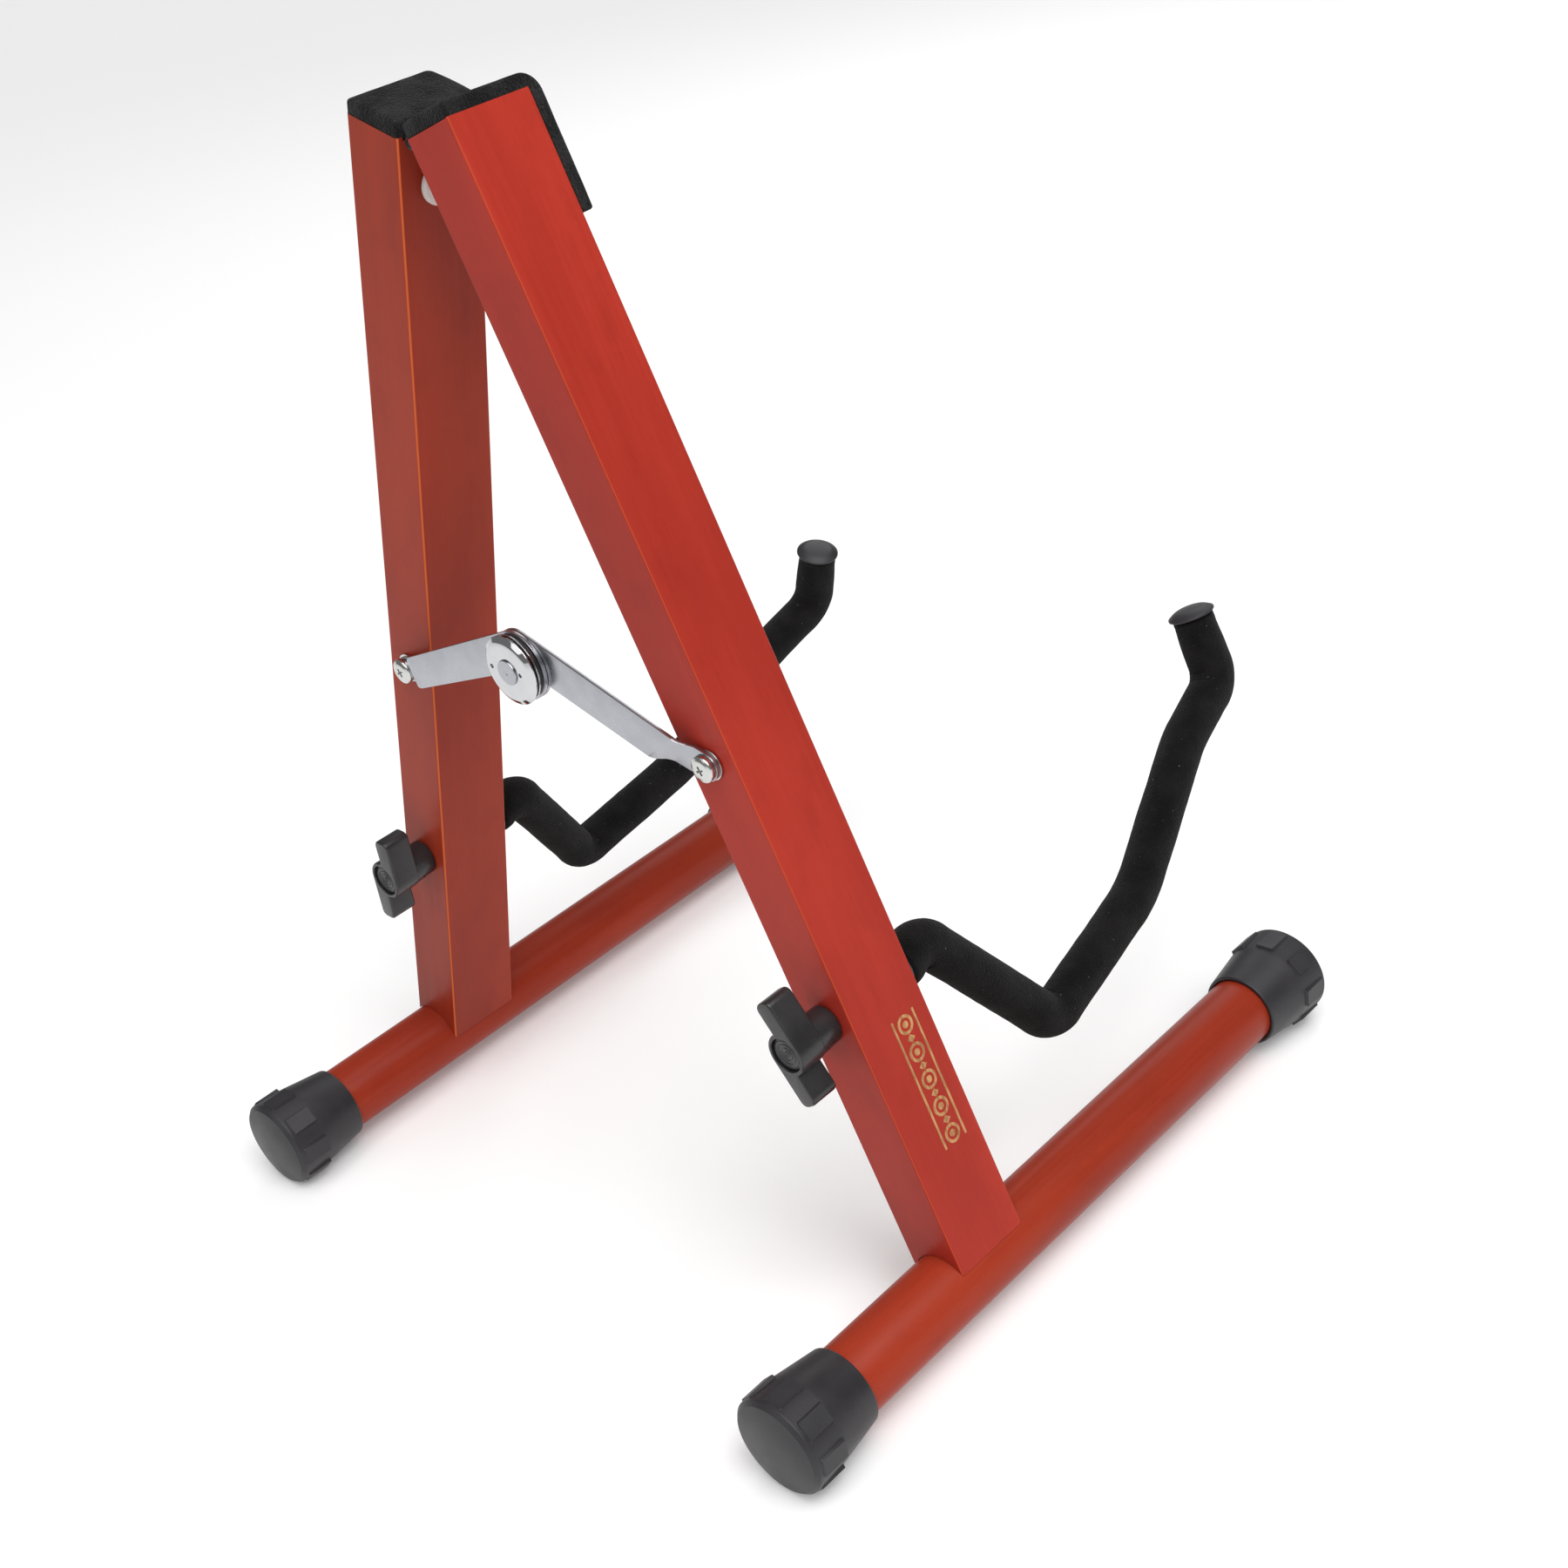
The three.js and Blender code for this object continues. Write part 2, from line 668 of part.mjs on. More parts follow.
for (const { name, sign } of sides) {
  const atBar = new THREE.Group();
  atBar.position.set(sign * barX, legPlaneY, barHeight);
  stand.add(atBar);

  const frontCap = endCap().rotateZ(Math.PI).translate(0, -barFront, 0);
  addPiece(atBar, `${name}_front_cap`, frontCap, blackRubber);
  addPiece(atBar, `${name}_back_cap`, endCap().translate(0, barBack, 0), blackRubber);

  const frame = new THREE.Group();
  frame.rotation.y = -sign * splay;
  atBar.add(frame);
  addPiece(frame, `${name}_leg`, leg(sign), stainedWood);
  addPiece(frame, `${name}_base_bar`, baseBar(), stainedWood);
  addPiece(frame, `${name}_top_pad`, topPad(), blackFoam);
  addPiece(frame, `${name}_hinge_leaf`, hingeLeaf(sign), plainSteel);
  for (const [i, place] of ['front', 'back'].entries()) {
    const forHinge = countersunkScrew(hingeScrew.head, hingeScrew.shank, hingeScrew.length)
      .translate(sign * hingeScrewOffset, hingeScrewStations[i], legLength);
    addPiece(frame, `${name}_hinge_screw_${place}`, forHinge, plainSteel);
    const forBar = barScrewSolid(0).translate(0, barScrewStations[i], 0);
    addPiece(frame, `${name}_bar_screw_${place}`, forBar, plainSteel);
  }

  const cradle = new THREE.Group();
  cradle.position.z = cradleHeight;
  frame.add(cradle);
  addPiece(cradle, `${name}_cradle_rod`, cradleRod(name), plainSteel);
  addPiece(cradle, `${name}_cradle_sleeve`, foamSleeve(name), blackFoam);
  addPiece(cradle, `${name}_cradle_collar`, cradleCollar(), blackPlastic);
  addPiece(cradle, `${name}_cradle_tip_cap`, tipCap(name), blackPlastic);
  addPiece(cradle, `${name}_knob`, wingKnob(), blackPlastic);
  addPiece(cradle, `${name}_knob_insert`, knobInsert(), plainSteel);
  addPiece(cradle, `${name}_knob_disc`, knobDisc(), blackPlastic);
}

const pinZ = barHeight + legLength * Math.cos(splay) - legHalf * Math.sin(splay) - hingeDrop;
const pinRod = rodAlongY(pinRadius, -leafLength / 2, leafLength / 2, 12);
const pin = addPiece(stand, 'hinge_pin', pinRod, plainSteel);
pin.position.set(0, legPlaneY, pinZ);

const bumperGroup = new THREE.Group();
bumperGroup.position.set(barX, legPlaneY, barHeight);
bumperGroup.rotation.y = -splay;
stand.add(bumperGroup);
const bumperSolid = turned([
  [0, 0], [bumperRadius, 0], [bumperRadius, bumperHeight * 0.5],
  [bumperRadius * 0.8, bumperHeight * 0.9], [0, bumperHeight],
], 20).rotateZ(Math.PI / 2);
const bumper = addPiece(bumperGroup, 'closing_bumper', bumperSolid, whiteFelt);
bumper.position.set(-legHalf - gap, 1, legLength - bumperBelowTop);

const stay = new THREE.Group();
stay.position.set(0, legPlaneY, barHeight + stayHeight * Math.cos(splay));
stand.add(stay);
const leftArm = stayArm(leftPlateLevel, 24, 5.6, 8, 20).rotateY(-armRise);
addPiece(stay, 'left_stay_arm', leftArm.translate(-stayPivotX, 0, 0), brightPlate);
const rightArm = mirrored(stayArm(rightPlateLevel, 12, 5.2, 7, 13).rotateY(-armRise));
addPiece(stay, 'right_stay_arm', rightArm.translate(stayPivotX, 0, 0), brightPlate);
for (const { name, sign } of sides) {
  const shankEnd = sign < 0 ? legFace - stayScrewDepth : legFace + gap;
  const screw = addPiece(stay, `${name}_stay_screw`, stayScrew(shankEnd), brightPlate);
  screw.position.x = sign * stayPivotX;
  const washer = addPiece(stay, `${name}_stay_washer`, stayWasherRing(), brightPlate);
  washer.position.x = sign * stayPivotX;
}

const hub = new THREE.Group();
hub.position.z = hubRise;
stay.add(hub);
const hubPlate = (radius, [from, to]) => ringPlate(hubHoleRadius, radius, from, to);
addPiece(hub, 'hub_inner_washer', hubPlate(hubRadius - 0.9, stack.innerWasher), blackPlastic);
addPiece(hub, 'hub_spacer_plate', hubPlate(hubRadius - 0.2, stack.spacer), brightPlate);
addPiece(hub, 'hub_outer_washer', hubPlate(hubRadius - 1.4, stack.outerWasher), blackPlastic);
addPiece(hub, 'hub_cover', hubCover(), brightPlate);
addPiece(hub, 'hub_rivet', hubRivet(), brightPlate);

export default stand;
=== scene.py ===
"""A folding wooden guitar stand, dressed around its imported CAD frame.

Metres, +Z up. The front, where the guitar sits, faces -Y, and the wing knobs face +Y.
Most pieces are made in the space of their side frame: its origin is on the base bar's axis under the leg,
z runs up the leg, y runs to the back, and x runs across the leg towards the stand's right.
"""

import math

import bmesh
import bpy
from mathutils import Matrix, Vector, noise


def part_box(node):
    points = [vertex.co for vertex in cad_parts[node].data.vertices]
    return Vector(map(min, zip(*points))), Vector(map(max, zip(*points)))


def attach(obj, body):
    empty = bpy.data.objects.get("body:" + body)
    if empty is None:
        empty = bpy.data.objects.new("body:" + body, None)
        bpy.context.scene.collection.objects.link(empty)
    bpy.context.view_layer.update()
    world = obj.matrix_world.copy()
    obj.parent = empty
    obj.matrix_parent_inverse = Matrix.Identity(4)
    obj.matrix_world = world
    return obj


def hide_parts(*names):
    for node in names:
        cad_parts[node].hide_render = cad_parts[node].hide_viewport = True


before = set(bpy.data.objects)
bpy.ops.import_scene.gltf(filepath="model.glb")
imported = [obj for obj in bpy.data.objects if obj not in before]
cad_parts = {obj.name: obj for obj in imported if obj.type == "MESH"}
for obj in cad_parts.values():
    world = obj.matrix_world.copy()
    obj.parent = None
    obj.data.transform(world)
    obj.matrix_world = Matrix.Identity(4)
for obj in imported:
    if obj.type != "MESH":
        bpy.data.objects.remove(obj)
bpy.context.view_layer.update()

MM = 0.001
SAME = 1e-7  # metres; smaller differences are rounding

# ------------------------------------------------------------------ driving dimensions, as in the CAD

SPLAY = math.radians(18.2)  # lean of each leg towards the other
LEG_LENGTH = 450 * MM  # base bar's axis to the leg's top end
LEG_HALF = 13 * MM  # half the leg's width across the stand
LEG_FACE = 17.5 * MM  # half the leg's depth
BAR_RADIUS = 14.6 * MM
BAR_FRONT = 180 * MM  # bar in front of the legs' middle plane, up to the cap's mouth
BAR_BACK = 75.5 * MM
CAP_INSIDE = 33 * MM
CRADLE_HEIGHT = 116 * MM
SLEEVE_RADIUS = 9.5 * MM
TIP_REACH = 239 * MM  # the cradle's upright tip, in front of the legs' middle plane
TIP_TOP = 43 * MM  # the sleeve's upper end, above the rod's hole
LOW_BEND = 80 * MM  # the bend that holds the guitar, in front of the legs' middle plane
RIGHT_SETBACK = 6 * MM  # the right rod is bent a little shorter than the left one
RIGHT_DROOP = 6.5 * MM  # and its tip stands lower
KNOB_BACK = 40 * MM  # the knob's face, from the legs' middle plane
KNOB_SEAT = 17.8 * MM  # the end of its boss, at the leg's back face
HUB_RISE = 23.6 * MM  # the stay's hub stands this far above its two screws
HUB_RADIUS = 13.9 * MM
PLATE = 1.5 * MM  # thickness of the stay arms
TAB_LEVEL = 18.8 * MM  # front face of each stay arm at its screw, from the legs' middle plane
LEFT_LEVEL = 22.8 * MM  # front face of the left arm at the hub
RIGHT_LEVEL = 24.5 * MM
GAP = 0.3 * MM  # clearance between pieces that touch


def middle(node):
    """Middle of a CAD node's box."""
    low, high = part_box(node)
    return (low + high) / 2


def side_space(side):
    """Matrix from a side frame's space to the stand's."""
    bar, leg = middle(f"{side}_base_bar"), middle(f"{side}_leg")
    lean = SPLAY if side == "left" else -SPLAY
    return Matrix.Translation((bar.x, leg.y, bar.z)) @ Matrix.Rotation(lean, 4, "Y")


SIDES = {"left": side_space("left"), "right": side_space("right")}
LEG_PLANE = middle("left_leg").y


# ------------------------------------------------------------------ outlines

def filleted(corners, steps=6, closed=False):
    """Points through corners (x, y, radius), each corner rounded by an arc of that radius."""
    points = []
    count = len(corners)
    for i, (x, y, radius) in enumerate(corners):
        here = Vector((x, y))
        at_end = not closed and i in (0, count - 1)
        if radius == 0 or at_end:
            points.append(here)
            continue
        into = (here - Vector(corners[i - 1][:2])).normalized()
        out = (Vector(corners[(i + 1) % count][:2]) - here).normalized()
        turn = math.atan2(into.x * out.y - into.y * out.x, into.dot(out))
        side = math.copysign(1, turn)
        start = here - into * radius * math.tan(abs(turn) / 2)
        spoke = Vector((into.y, -into.x)) * side * radius
        centre = start - spoke
        for k in range(steps + 1):
            points.append(centre + rotated(spoke, turn * k / steps))
    return points


def rotated(vector, angle):
    c, s = math.cos(angle), math.sin(angle)
    return Vector((c * vector.x - s * vector.y, s * vector.x + c * vector.y))


def arc(centre_x, centre_y, radius, start, end, steps):
    """Points on an arc, with its angles in degrees."""
    angles = [math.radians(start + (end - start) * k / steps) for k in range(steps + 1)]
    return [Vector((centre_x + radius * math.cos(a), centre_y + radius * math.sin(a))) for a in angles]


def distances(points):
    """How far along a line each of its points is."""
    result = [0.0]
    for a, b in zip(points, points[1:]):
        result.append(result[-1] + (b - a).length)
    return result


def heading(points, i):
    """Direction of a line at its point i."""
    return (points[min(i + 1, len(points) - 1)] - points[max(i - 1, 0)]).normalized()


def evenly(points, spacing):
    """The same line with its points a fixed distance apart."""
    lengths = distances(points)
    count = round(lengths[-1] / spacing)
    result, i = [], 0
    for k in range(count + 1):
        target = lengths[-1] * k / count
        while i < len(points) - 2 and lengths[i + 1] < target:
            i += 1
        span = lengths[i + 1] - lengths[i] or 1
        result.append(points[i].lerp(points[i + 1], (target - lengths[i]) / span))
    return result


def refined(points, spacing):
    """The same line with points added, so that none are further apart than the spacing."""
    result = []
    for a, b in zip(points, points[1:]):
        steps = max(1, math.ceil((b - a).length / spacing))
        result += [a.lerp(b, k / steps) for k in range(steps)]
    return [*result, points[-1]]


def smoothstep(value, low, high):
    """0 below low and 1 above high, with a smooth rise between them."""
    t = min(max((value - low) / (high - low), 0), 1)
    return t * t * (3 - 2 * t)


def drawn_in(to_end, radius):
    """How far a skin draws in near its end, so that its rim is rounded to the radius."""
    short = max(radius - to_end, 0)
    return radius - math.sqrt(max(radius ** 2 - short ** 2, 0))


# ------------------------------------------------------------------ meshes

SHARP = 32  # degrees; a crease that is sharper than this isn't shaded smooth


def to_mesh(bm, name, sharp=SHARP):
    """Mesh of a bmesh, smooth except where its faces meet at more than sharp degrees."""
    bmesh.ops.remove_doubles(bm, verts=bm.verts, dist=1e-6)
    bmesh.ops.recalc_face_normals(bm, faces=bm.faces)
    mesh = bpy.data.meshes.new(name)
    bm.to_mesh(mesh)
    bm.free()
    mesh.shade_smooth()
    mesh.set_sharp_from_angle(angle=math.radians(sharp))
    return mesh


def bridge(bm, row, following):
    """Faces between two closed rows of vertices. A row may be one vertex, repeated."""
    count = len(row)
    for k in range(count):
        after = (k + 1) % count
        corners = dict.fromkeys((row[k], row[after], following[after], following[k]))
        if len(corners) > 2:
            bm.faces.new(corners)


def grid_of_rings(rings, name, sharp):
    """Closed mesh through rings of equal length; its two ends are filled."""
    bm = bmesh.new()
    rows = [[bm.verts.new(point) for point in ring] for ring in rings]
    for row, following in zip(rows, rows[1:]):
        bridge(bm, row, following)
    bm.faces.new(rows[0])
    bm.faces.new(rows[-1])
    return to_mesh(bm, name, sharp)


def lathe(profile, name, segments, sharp=SHARP, bulge=None):
    """Outline [(radius, station)] turned about Y. bulge(radius, station, angle) may change the radius."""
    bm = bmesh.new()
    rows = []
    for radius, station in profile:
        if radius < SAME:
            rows.append([bm.verts.new((0, station, 0))] * segments)
            continue
        row = []
        for k in range(segments):
            angle = 2 * math.pi * k / segments
            reach = bulge(radius, station, angle) if bulge else radius
            row.append(bm.verts.new((reach * math.sin(angle), station, reach * math.cos(angle))))
        rows.append(row)
    pairs = list(zip(rows, rows[1:]))
    if profile[0][0] > SAME:  # a ring, whose outline doesn't start on the axis
        pairs.append((rows[-1], rows[0]))
    for row, following in pairs:
        bridge(bm, row, following)
    return to_mesh(bm, name, sharp)


def is_rim(edge):
    """Whether an edge of an extruded outline runs around one of its two flat faces."""
    return edge.calc_face_angle(0) > 1 and abs(edge.verts[0].co.y - edge.verts[1].co.y) < SAME


def extruded(outline, low, high, name, edge, edge_steps, stations=(), slant=0.0):
    """Outline in X and Z extruded along Y, its rims rounded to the edge radius.

    It is cut where X + slant * Z is each of the stations, so that it can be bent there.
    """
    bm = bmesh.new()
    face = bm.faces.new([bm.verts.new((x, low, z)) for x, z in outline])
    for x in stations:
        bmesh.ops.bisect_plane(bm, geom=bm.verts[:] + bm.edges[:] + bm.faces[:],
                               plane_co=(x, 0, 0), plane_no=(1, 0, slant))
    made = bmesh.ops.extrude_face_region(bm, geom=bm.faces[:])["geom"]
    for vert in [v for v in made if isinstance(v, bmesh.types.BMVert)]:
        vert.co.y = high
    bmesh.ops.recalc_face_normals(bm, faces=bm.faces)
    bm.normal_update()
    rims = [e for e in bm.edges if is_rim(e)]
    bmesh.ops.bevel(bm, geom=rims, offset=edge, segments=edge_steps, profile=0.5, affect="EDGES",
                    clamp_overlap=True)
    return to_mesh(bm, name)


def combined(mesh, tools, operation="DIFFERENCE"):
    """Boolean of a mesh with others, in the order given."""
    base = bpy.data.objects.new("boolean_base", mesh)
    bpy.context.scene.collection.objects.link(base)
    helpers = []
    for tool in tools:
        helper = bpy.data.objects.new("boolean_tool", tool)
        bpy.context.scene.collection.objects.link(helper)
        modifier = base.modifiers.new("boolean", "BOOLEAN")
        modifier.operation = operation
        modifier.solver = "EXACT"
        modifier.object = helper
        helpers.append(helper)
    graph = bpy.context.evaluated_depsgraph_get()
    result = bpy.data.meshes.new_from_object(base.evaluated_get(graph))
    for thing in [base, *helpers]:
        bpy.data.objects.remove(thing)
    result.shade_smooth()
    result.set_sharp_from_angle(angle=math.radians(SHARP))
    return result


def moved(mesh, matrix):
    """Copy of a mesh, moved by a matrix."""
    copy = mesh.copy()
    copy.transform(matrix)
    return copy


def drum(radius, low, high, segments=48):
    """Plain round cutter along Y."""
    return lathe([(0, low), (radius, low), (radius, high), (0, high)], "drum", segments)


def piece(name, mesh, place, body, slot, material, *nodes):
    """Object that rides on a body and replaces CAD nodes."""
    thing = bpy.data.objects.new(name, mesh)
    bpy.context.scene.collection.objects.link(thing)
    thing.matrix_world = place
    mesh.materials.clear()
    mesh.materials.append(material)
    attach(thing, body)
    if nodes:
        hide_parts(*nodes)
    return thing


def stand_in(node, ending, mesh, place, body, slot, material):
    """Piece that replaces one CAD node, named after it with an ending."""
    return piece(f"{node}_{ending}", mesh, place, body, slot, material, node)


# ------------------------------------------------------------------ materials

class Shader:
    """A new material's node tree, with short ways to add and join nodes."""

    def __init__(self, name):
        self.material = bpy.data.materials.new(name)
        self.material.use_nodes = True
        self.tree = self.material.node_tree
        self.surface = self.tree.nodes["Principled BSDF"]
        self.place = self.tree.nodes.new("ShaderNodeTexCoord").outputs["Object"]

    def put(self, socket, value):
        """Joins another socket to this one, or sets its value."""
        if isinstance(value, bpy.types.NodeSocket):
            self.tree.links.new(value, socket)
        else:
            socket.default_value = value

    def node(self, kind, output, inputs, **settings):
        """Output of a new node, its inputs joined or set."""
        node = self.tree.nodes.new(kind)
        for key, value in settings.items():
            setattr(node, key, value)
        for key, value in inputs.items():
            self.put(node.inputs[key], value)
        return node.outputs[output]

    def scaled(self, scale, source=None):
        """Coordinates times (x, y, z), for patterns stretched along an axis."""
        source = source or self.place
        return self.node("ShaderNodeVectorMath", 0, {0: source, 1: scale}, operation="MULTIPLY")

    def noise(self, source, scale, detail=3.0, roughness=0.5):
        inputs = {"Vector": source, "Scale": scale, "Detail": detail, "Roughness": roughness}
        return self.node("ShaderNodeTexNoise", "Fac", inputs)

    def ramp(self, value, low, high, start=0.0, end=1.0):
        """value from low..high to start..end, smoothly and clamped."""
        inputs = {"Value": value, "From Min": low, "From Max": high, "To Min": start, "To Max": end}
        return self.node("ShaderNodeMapRange", 0, inputs, interpolation_type="SMOOTHSTEP")

    def math(self, operation, a, b=0.0):
        return self.node("ShaderNodeMath", 0, {0: a, 1: b}, operation=operation)

    def blend(self, amount, first, second):
        """Colour between two colours. A Mix node's colours go in at 6 and 7 and come out at 2."""
        node = self.tree.nodes.new("ShaderNodeMix")
        node.data_type = "RGBA"
        self.put(node.inputs[0], amount)
        for socket, colour in ((6, first), (7, second)):
            self.put(node.inputs[socket], (*colour, 1) if isinstance(colour, tuple) else colour)
        return node.outputs[2]

    def bump(self, height, distance, strength=1.0):
        inputs = {"Height": height, "Distance": distance, "Strength": strength}
        normal = self.node("ShaderNodeBump", 0, inputs)
        self.put(self.surface.inputs["Normal"], normal)

    def finish(self, **values):
        """Sets the surface's sockets, named with _ for a space."""
        for key, value in values.items():
            self.put(self.surface.inputs[key.replace("_", " ")], value)
        return self.material


# Stains: a light and a dark linear colour, how much lighter a leg's long edges are made, and how wide a
# strip. On the russet leg that edge line is stain rubbed off; on the crimson leg it is a painted highlight
# along the arris.
CRIMSON = ((0.435, 0.036, 0.021), (0.350, 0.027, 0.016), 0.60, 0.50 * MM)
RUSSET = ((0.350, 0.038, 0.0155), (0.270, 0.027, 0.0110), 0.85, 0.8 * MM)
WOOD_DEEP = (0.190, 0.014, 0.009)
WOOD_PORE = (0.140, 0.010, 0.006)
WOOD_EDGE_WEAR_AND_HIGHLIGHT = (0.660, 0.130, 0.030)


def worn_and_highlit_edges(shader, local, width):
    """1 along a leg's four long edges and 0 away from them."""
    parts = shader.tree.nodes.new("ShaderNodeSeparateXYZ")
    shader.put(parts.inputs[0], local)
    near = []
    for axis, half in ((0, LEG_HALF), (1, LEG_FACE)):
        off = shader.math("ABSOLUTE", parts.outputs[axis])
        near.append(shader.ramp(off, half - width, half - width / 2))
    return shader.math("MULTIPLY", *near)


def stained_wood(name, place, along, seed, stain, edges=False):
    """Red mahogany stain under satin lacquer, its grain along one axis of a space.

    The seed shifts the grain, and edges lightens a leg's long edges: real wear of the stain on the russet
    leg, a painted highlight along the arris on the crimson leg.
    """
    shader = Shader(name)
    location, turn, _ = place.decompose()
    local = shader.node("ShaderNodeMapping", 0, {
        "Vector": shader.place, "Location": location, "Rotation": turn.to_euler(),
    }, vector_type="TEXTURE")
    shift = (seed, 0.7 * seed, 0.3 * seed)
    shifted = shader.node("ShaderNodeVectorMath", 0, {0: local, 1: shift}, operation="ADD")

    def stretched(across, lengthwise):
        """Coordinates for a pattern with so many marks in a metre across the grain and along it."""
        scale = [across] * 3
        scale[along] = lengthwise
        return shader.scaled(tuple(scale), shifted)

    cloud = shader.noise(stretched(22, 5), 1.0, 3)
    streaks = shader.noise(stretched(520, 14), 1.0, 4, 0.6)
    pores = shader.noise(stretched(2300, 110), 1.0, 2)
    blotches = shader.noise(stretched(70, 40), 1.0, 3, 0.55)
    tone = shader.math("ADD", shader.math("MULTIPLY", cloud, 0.8), shader.math("MULTIPLY", streaks, 0.2))
    light, dark, wear, edge_line_width = stain
    colour = shader.blend(shader.ramp(tone, 0.36, 0.64), dark, light)
    colour = shader.blend(shader.ramp(blotches, 0.50, 0.74, 0, 0.18), colour, WOOD_DEEP)
    colour = shader.blend(shader.ramp(pores, 0.60, 0.74, 0, 0.20), colour, WOOD_PORE)
    # lighter edge line: rubbed-off stain on the russet leg, a painted highlight on the crimson leg's arris
    if edges:
        edge_wear_and_highlight = worn_and_highlit_edges(shader, local, edge_line_width)
        colour = shader.blend(shader.math("MULTIPLY", edge_wear_and_highlight, wear), colour, WOOD_EDGE_WEAR_AND_HIGHLIGHT)
    shader.bump(shader.math("ADD", streaks, shader.math("MULTIPLY", pores, -0.6)), 0.05 * MM, 0.5)
    return shader.finish(
        Base_Color=colour, Roughness=shader.ramp(streaks, 0.3, 0.7, 0.34, 0.44),
        Specular_IOR_Level=0.12, Coat_Weight=0.04, Coat_Roughness=0.16,
    )


def moulded(name, dark, light, roughness, grain, depth):
    """Moulded rubber or plastic: an even skin with a fine spark-eroded grain and a few dull patches."""
    shader = Shader(name)
    skin = shader.noise(shader.place, grain, 3, 0.6)
    patches = shader.noise(shader.place, 60, 3)
    shader.bump(skin, depth)
    return shader.finish(
        Base_Color=shader.blend(shader.ramp(patches, 0.3, 0.7), dark, light),
        Roughness=shader.ramp(patches, 0.3, 0.7, roughness - 0.05, roughness + 0.07),
    )


FOAM_LINT = (0.16, 0.15, 0.145)


def foam(name, dark, light, cells_per_metre, depth):
    """Closed-cell foam: a dull dark skin of fine cells, with a few pale specks of lint."""
    shader = Shader(name)
    inputs = {"Vector": shader.place, "Scale": cells_per_metre}
    cells = shader.node("ShaderNodeTexVoronoi", "Distance", inputs)
    fuzz = shader.noise(shader.place, 1.7 * cells_per_metre, 3, 0.7)
    wear = shader.noise(shader.place, 90, 3)
    specks = shader.noise(shader.place, 760, 1)
    colour = shader.blend(shader.ramp(shader.math("MULTIPLY", wear, fuzz), 0.15, 0.40), dark, light)
    colour = shader.blend(shader.ramp(specks, 0.76, 0.80, 0, 0.6), colour, FOAM_LINT)
    shader.bump(shader.math("ADD", cells, fuzz), depth)
    return shader.finish(
        Base_Color=colour, Roughness=0.95, Specular_IOR_Level=0.12,
        Sheen_Weight=0.06, Sheen_Roughness=0.5,
    )


def plated(name, tint, roughness, scratches):
    """Bright plating on pressed steel, with fine brushed scratches and faint clouding."""
    shader = Shader(name)
    brushed = shader.noise(shader.scaled((140, 900, 2400)), 1.0, 3, 0.6)
    cloud = shader.noise(shader.place, 130, 3)
    colour = shader.blend(shader.ramp(cloud, 0.3, 0.75), tint, tuple(0.94 * c for c in tint))
    shader.bump(brushed, scratches)
    return shader.finish(
        Base_Color=colour, Metallic=1.0,
        Roughness=shader.ramp(cloud, 0.3, 0.7, roughness * 0.94, roughness * 1.08),
    )


def felt(name):
    """White felt with matted fibres."""
    shader = Shader(name)
    fibres = shader.noise(shader.scaled((1.0, 1.4, 0.8)), 1600, 4, 0.7)
    shader.bump(fibres, 0.2 * MM)
    return shader.finish(
        Base_Color=shader.blend(fibres, (0.60, 0.57, 0.53), (0.88, 0.86, 0.82)),
        Roughness=0.9, Sheen_Weight=0.4, Sheen_Roughness=0.6,
    )


def laser_mark(name):
    """Bare wood in the bottom of an engraved mark: tan, with scorched streaks."""
    shader = Shader(name)
    lines = shader.noise(shader.scaled((900, 900, 160)), 1.0, 3, 0.6)
    shader.bump(lines, 0.06 * MM)
    scorched, tan = (0.31, 0.135, 0.047), (0.57, 0.30, 0.115)
    colour = shader.blend(shader.ramp(lines, 0.35, 0.65), scorched, tan)
    return shader.finish(Base_Color=colour, Roughness=0.75)


RUBBER = moulded("cap_rubber", (0.0150, 0.0135, 0.0162), (0.0212, 0.0194, 0.0226), 0.46, 1400, 0.06 * MM)
NYLON = moulded("black_nylon", (0.017, 0.016, 0.017), (0.025, 0.0235, 0.025), 0.29, 1800, 0.035 * MM)
SLEEVE_FOAM = foam("sleeve_foam", (0.0036, 0.0033, 0.0033), (0.0105, 0.0094, 0.0096), 1400.0, 0.30 * MM)
PAD_FOAM = foam("pad_foam", (0.0060, 0.0056, 0.0056), (0.026, 0.0245, 0.0245), 900.0, 0.55 * MM)
BRIGHT = plated("bright_plate", (0.43, 0.44, 0.47), 0.28, 0.0012 * MM)
CHROME = plated("polished_plate", (0.62, 0.625, 0.64), 0.07, 0.0004 * MM)
ZINC = plated("zinc_screw", (0.62, 0.63, 0.61), 0.18, 0.002 * MM)
STEEL = plated("plain_steel", (0.52, 0.52, 0.53), 0.38, 0.01 * MM)
# painted shade: the hinge leaf, its screws and the hinge pin are made near-black, as they sit in the shade
# under the pads
HINGE_SHADE_BLACK = moulded("hinge_painted_shade", (0.012, 0.012, 0.013), (0.026, 0.025, 0.025), 0.45, 900, 0.02 * MM)
FELT = felt("white_felt")
MARK = laser_mark("laser_mark")


# ------------------------------------------------------------------ base bars and their caps

BAR_SCREW_STATIONS = (-9 * MM, 9 * MM)
BAR_SCREW_HEAD = 4.8 * MM
HEAD_SINK = 1.2 * MM  # the head's face sits this far inside the bar


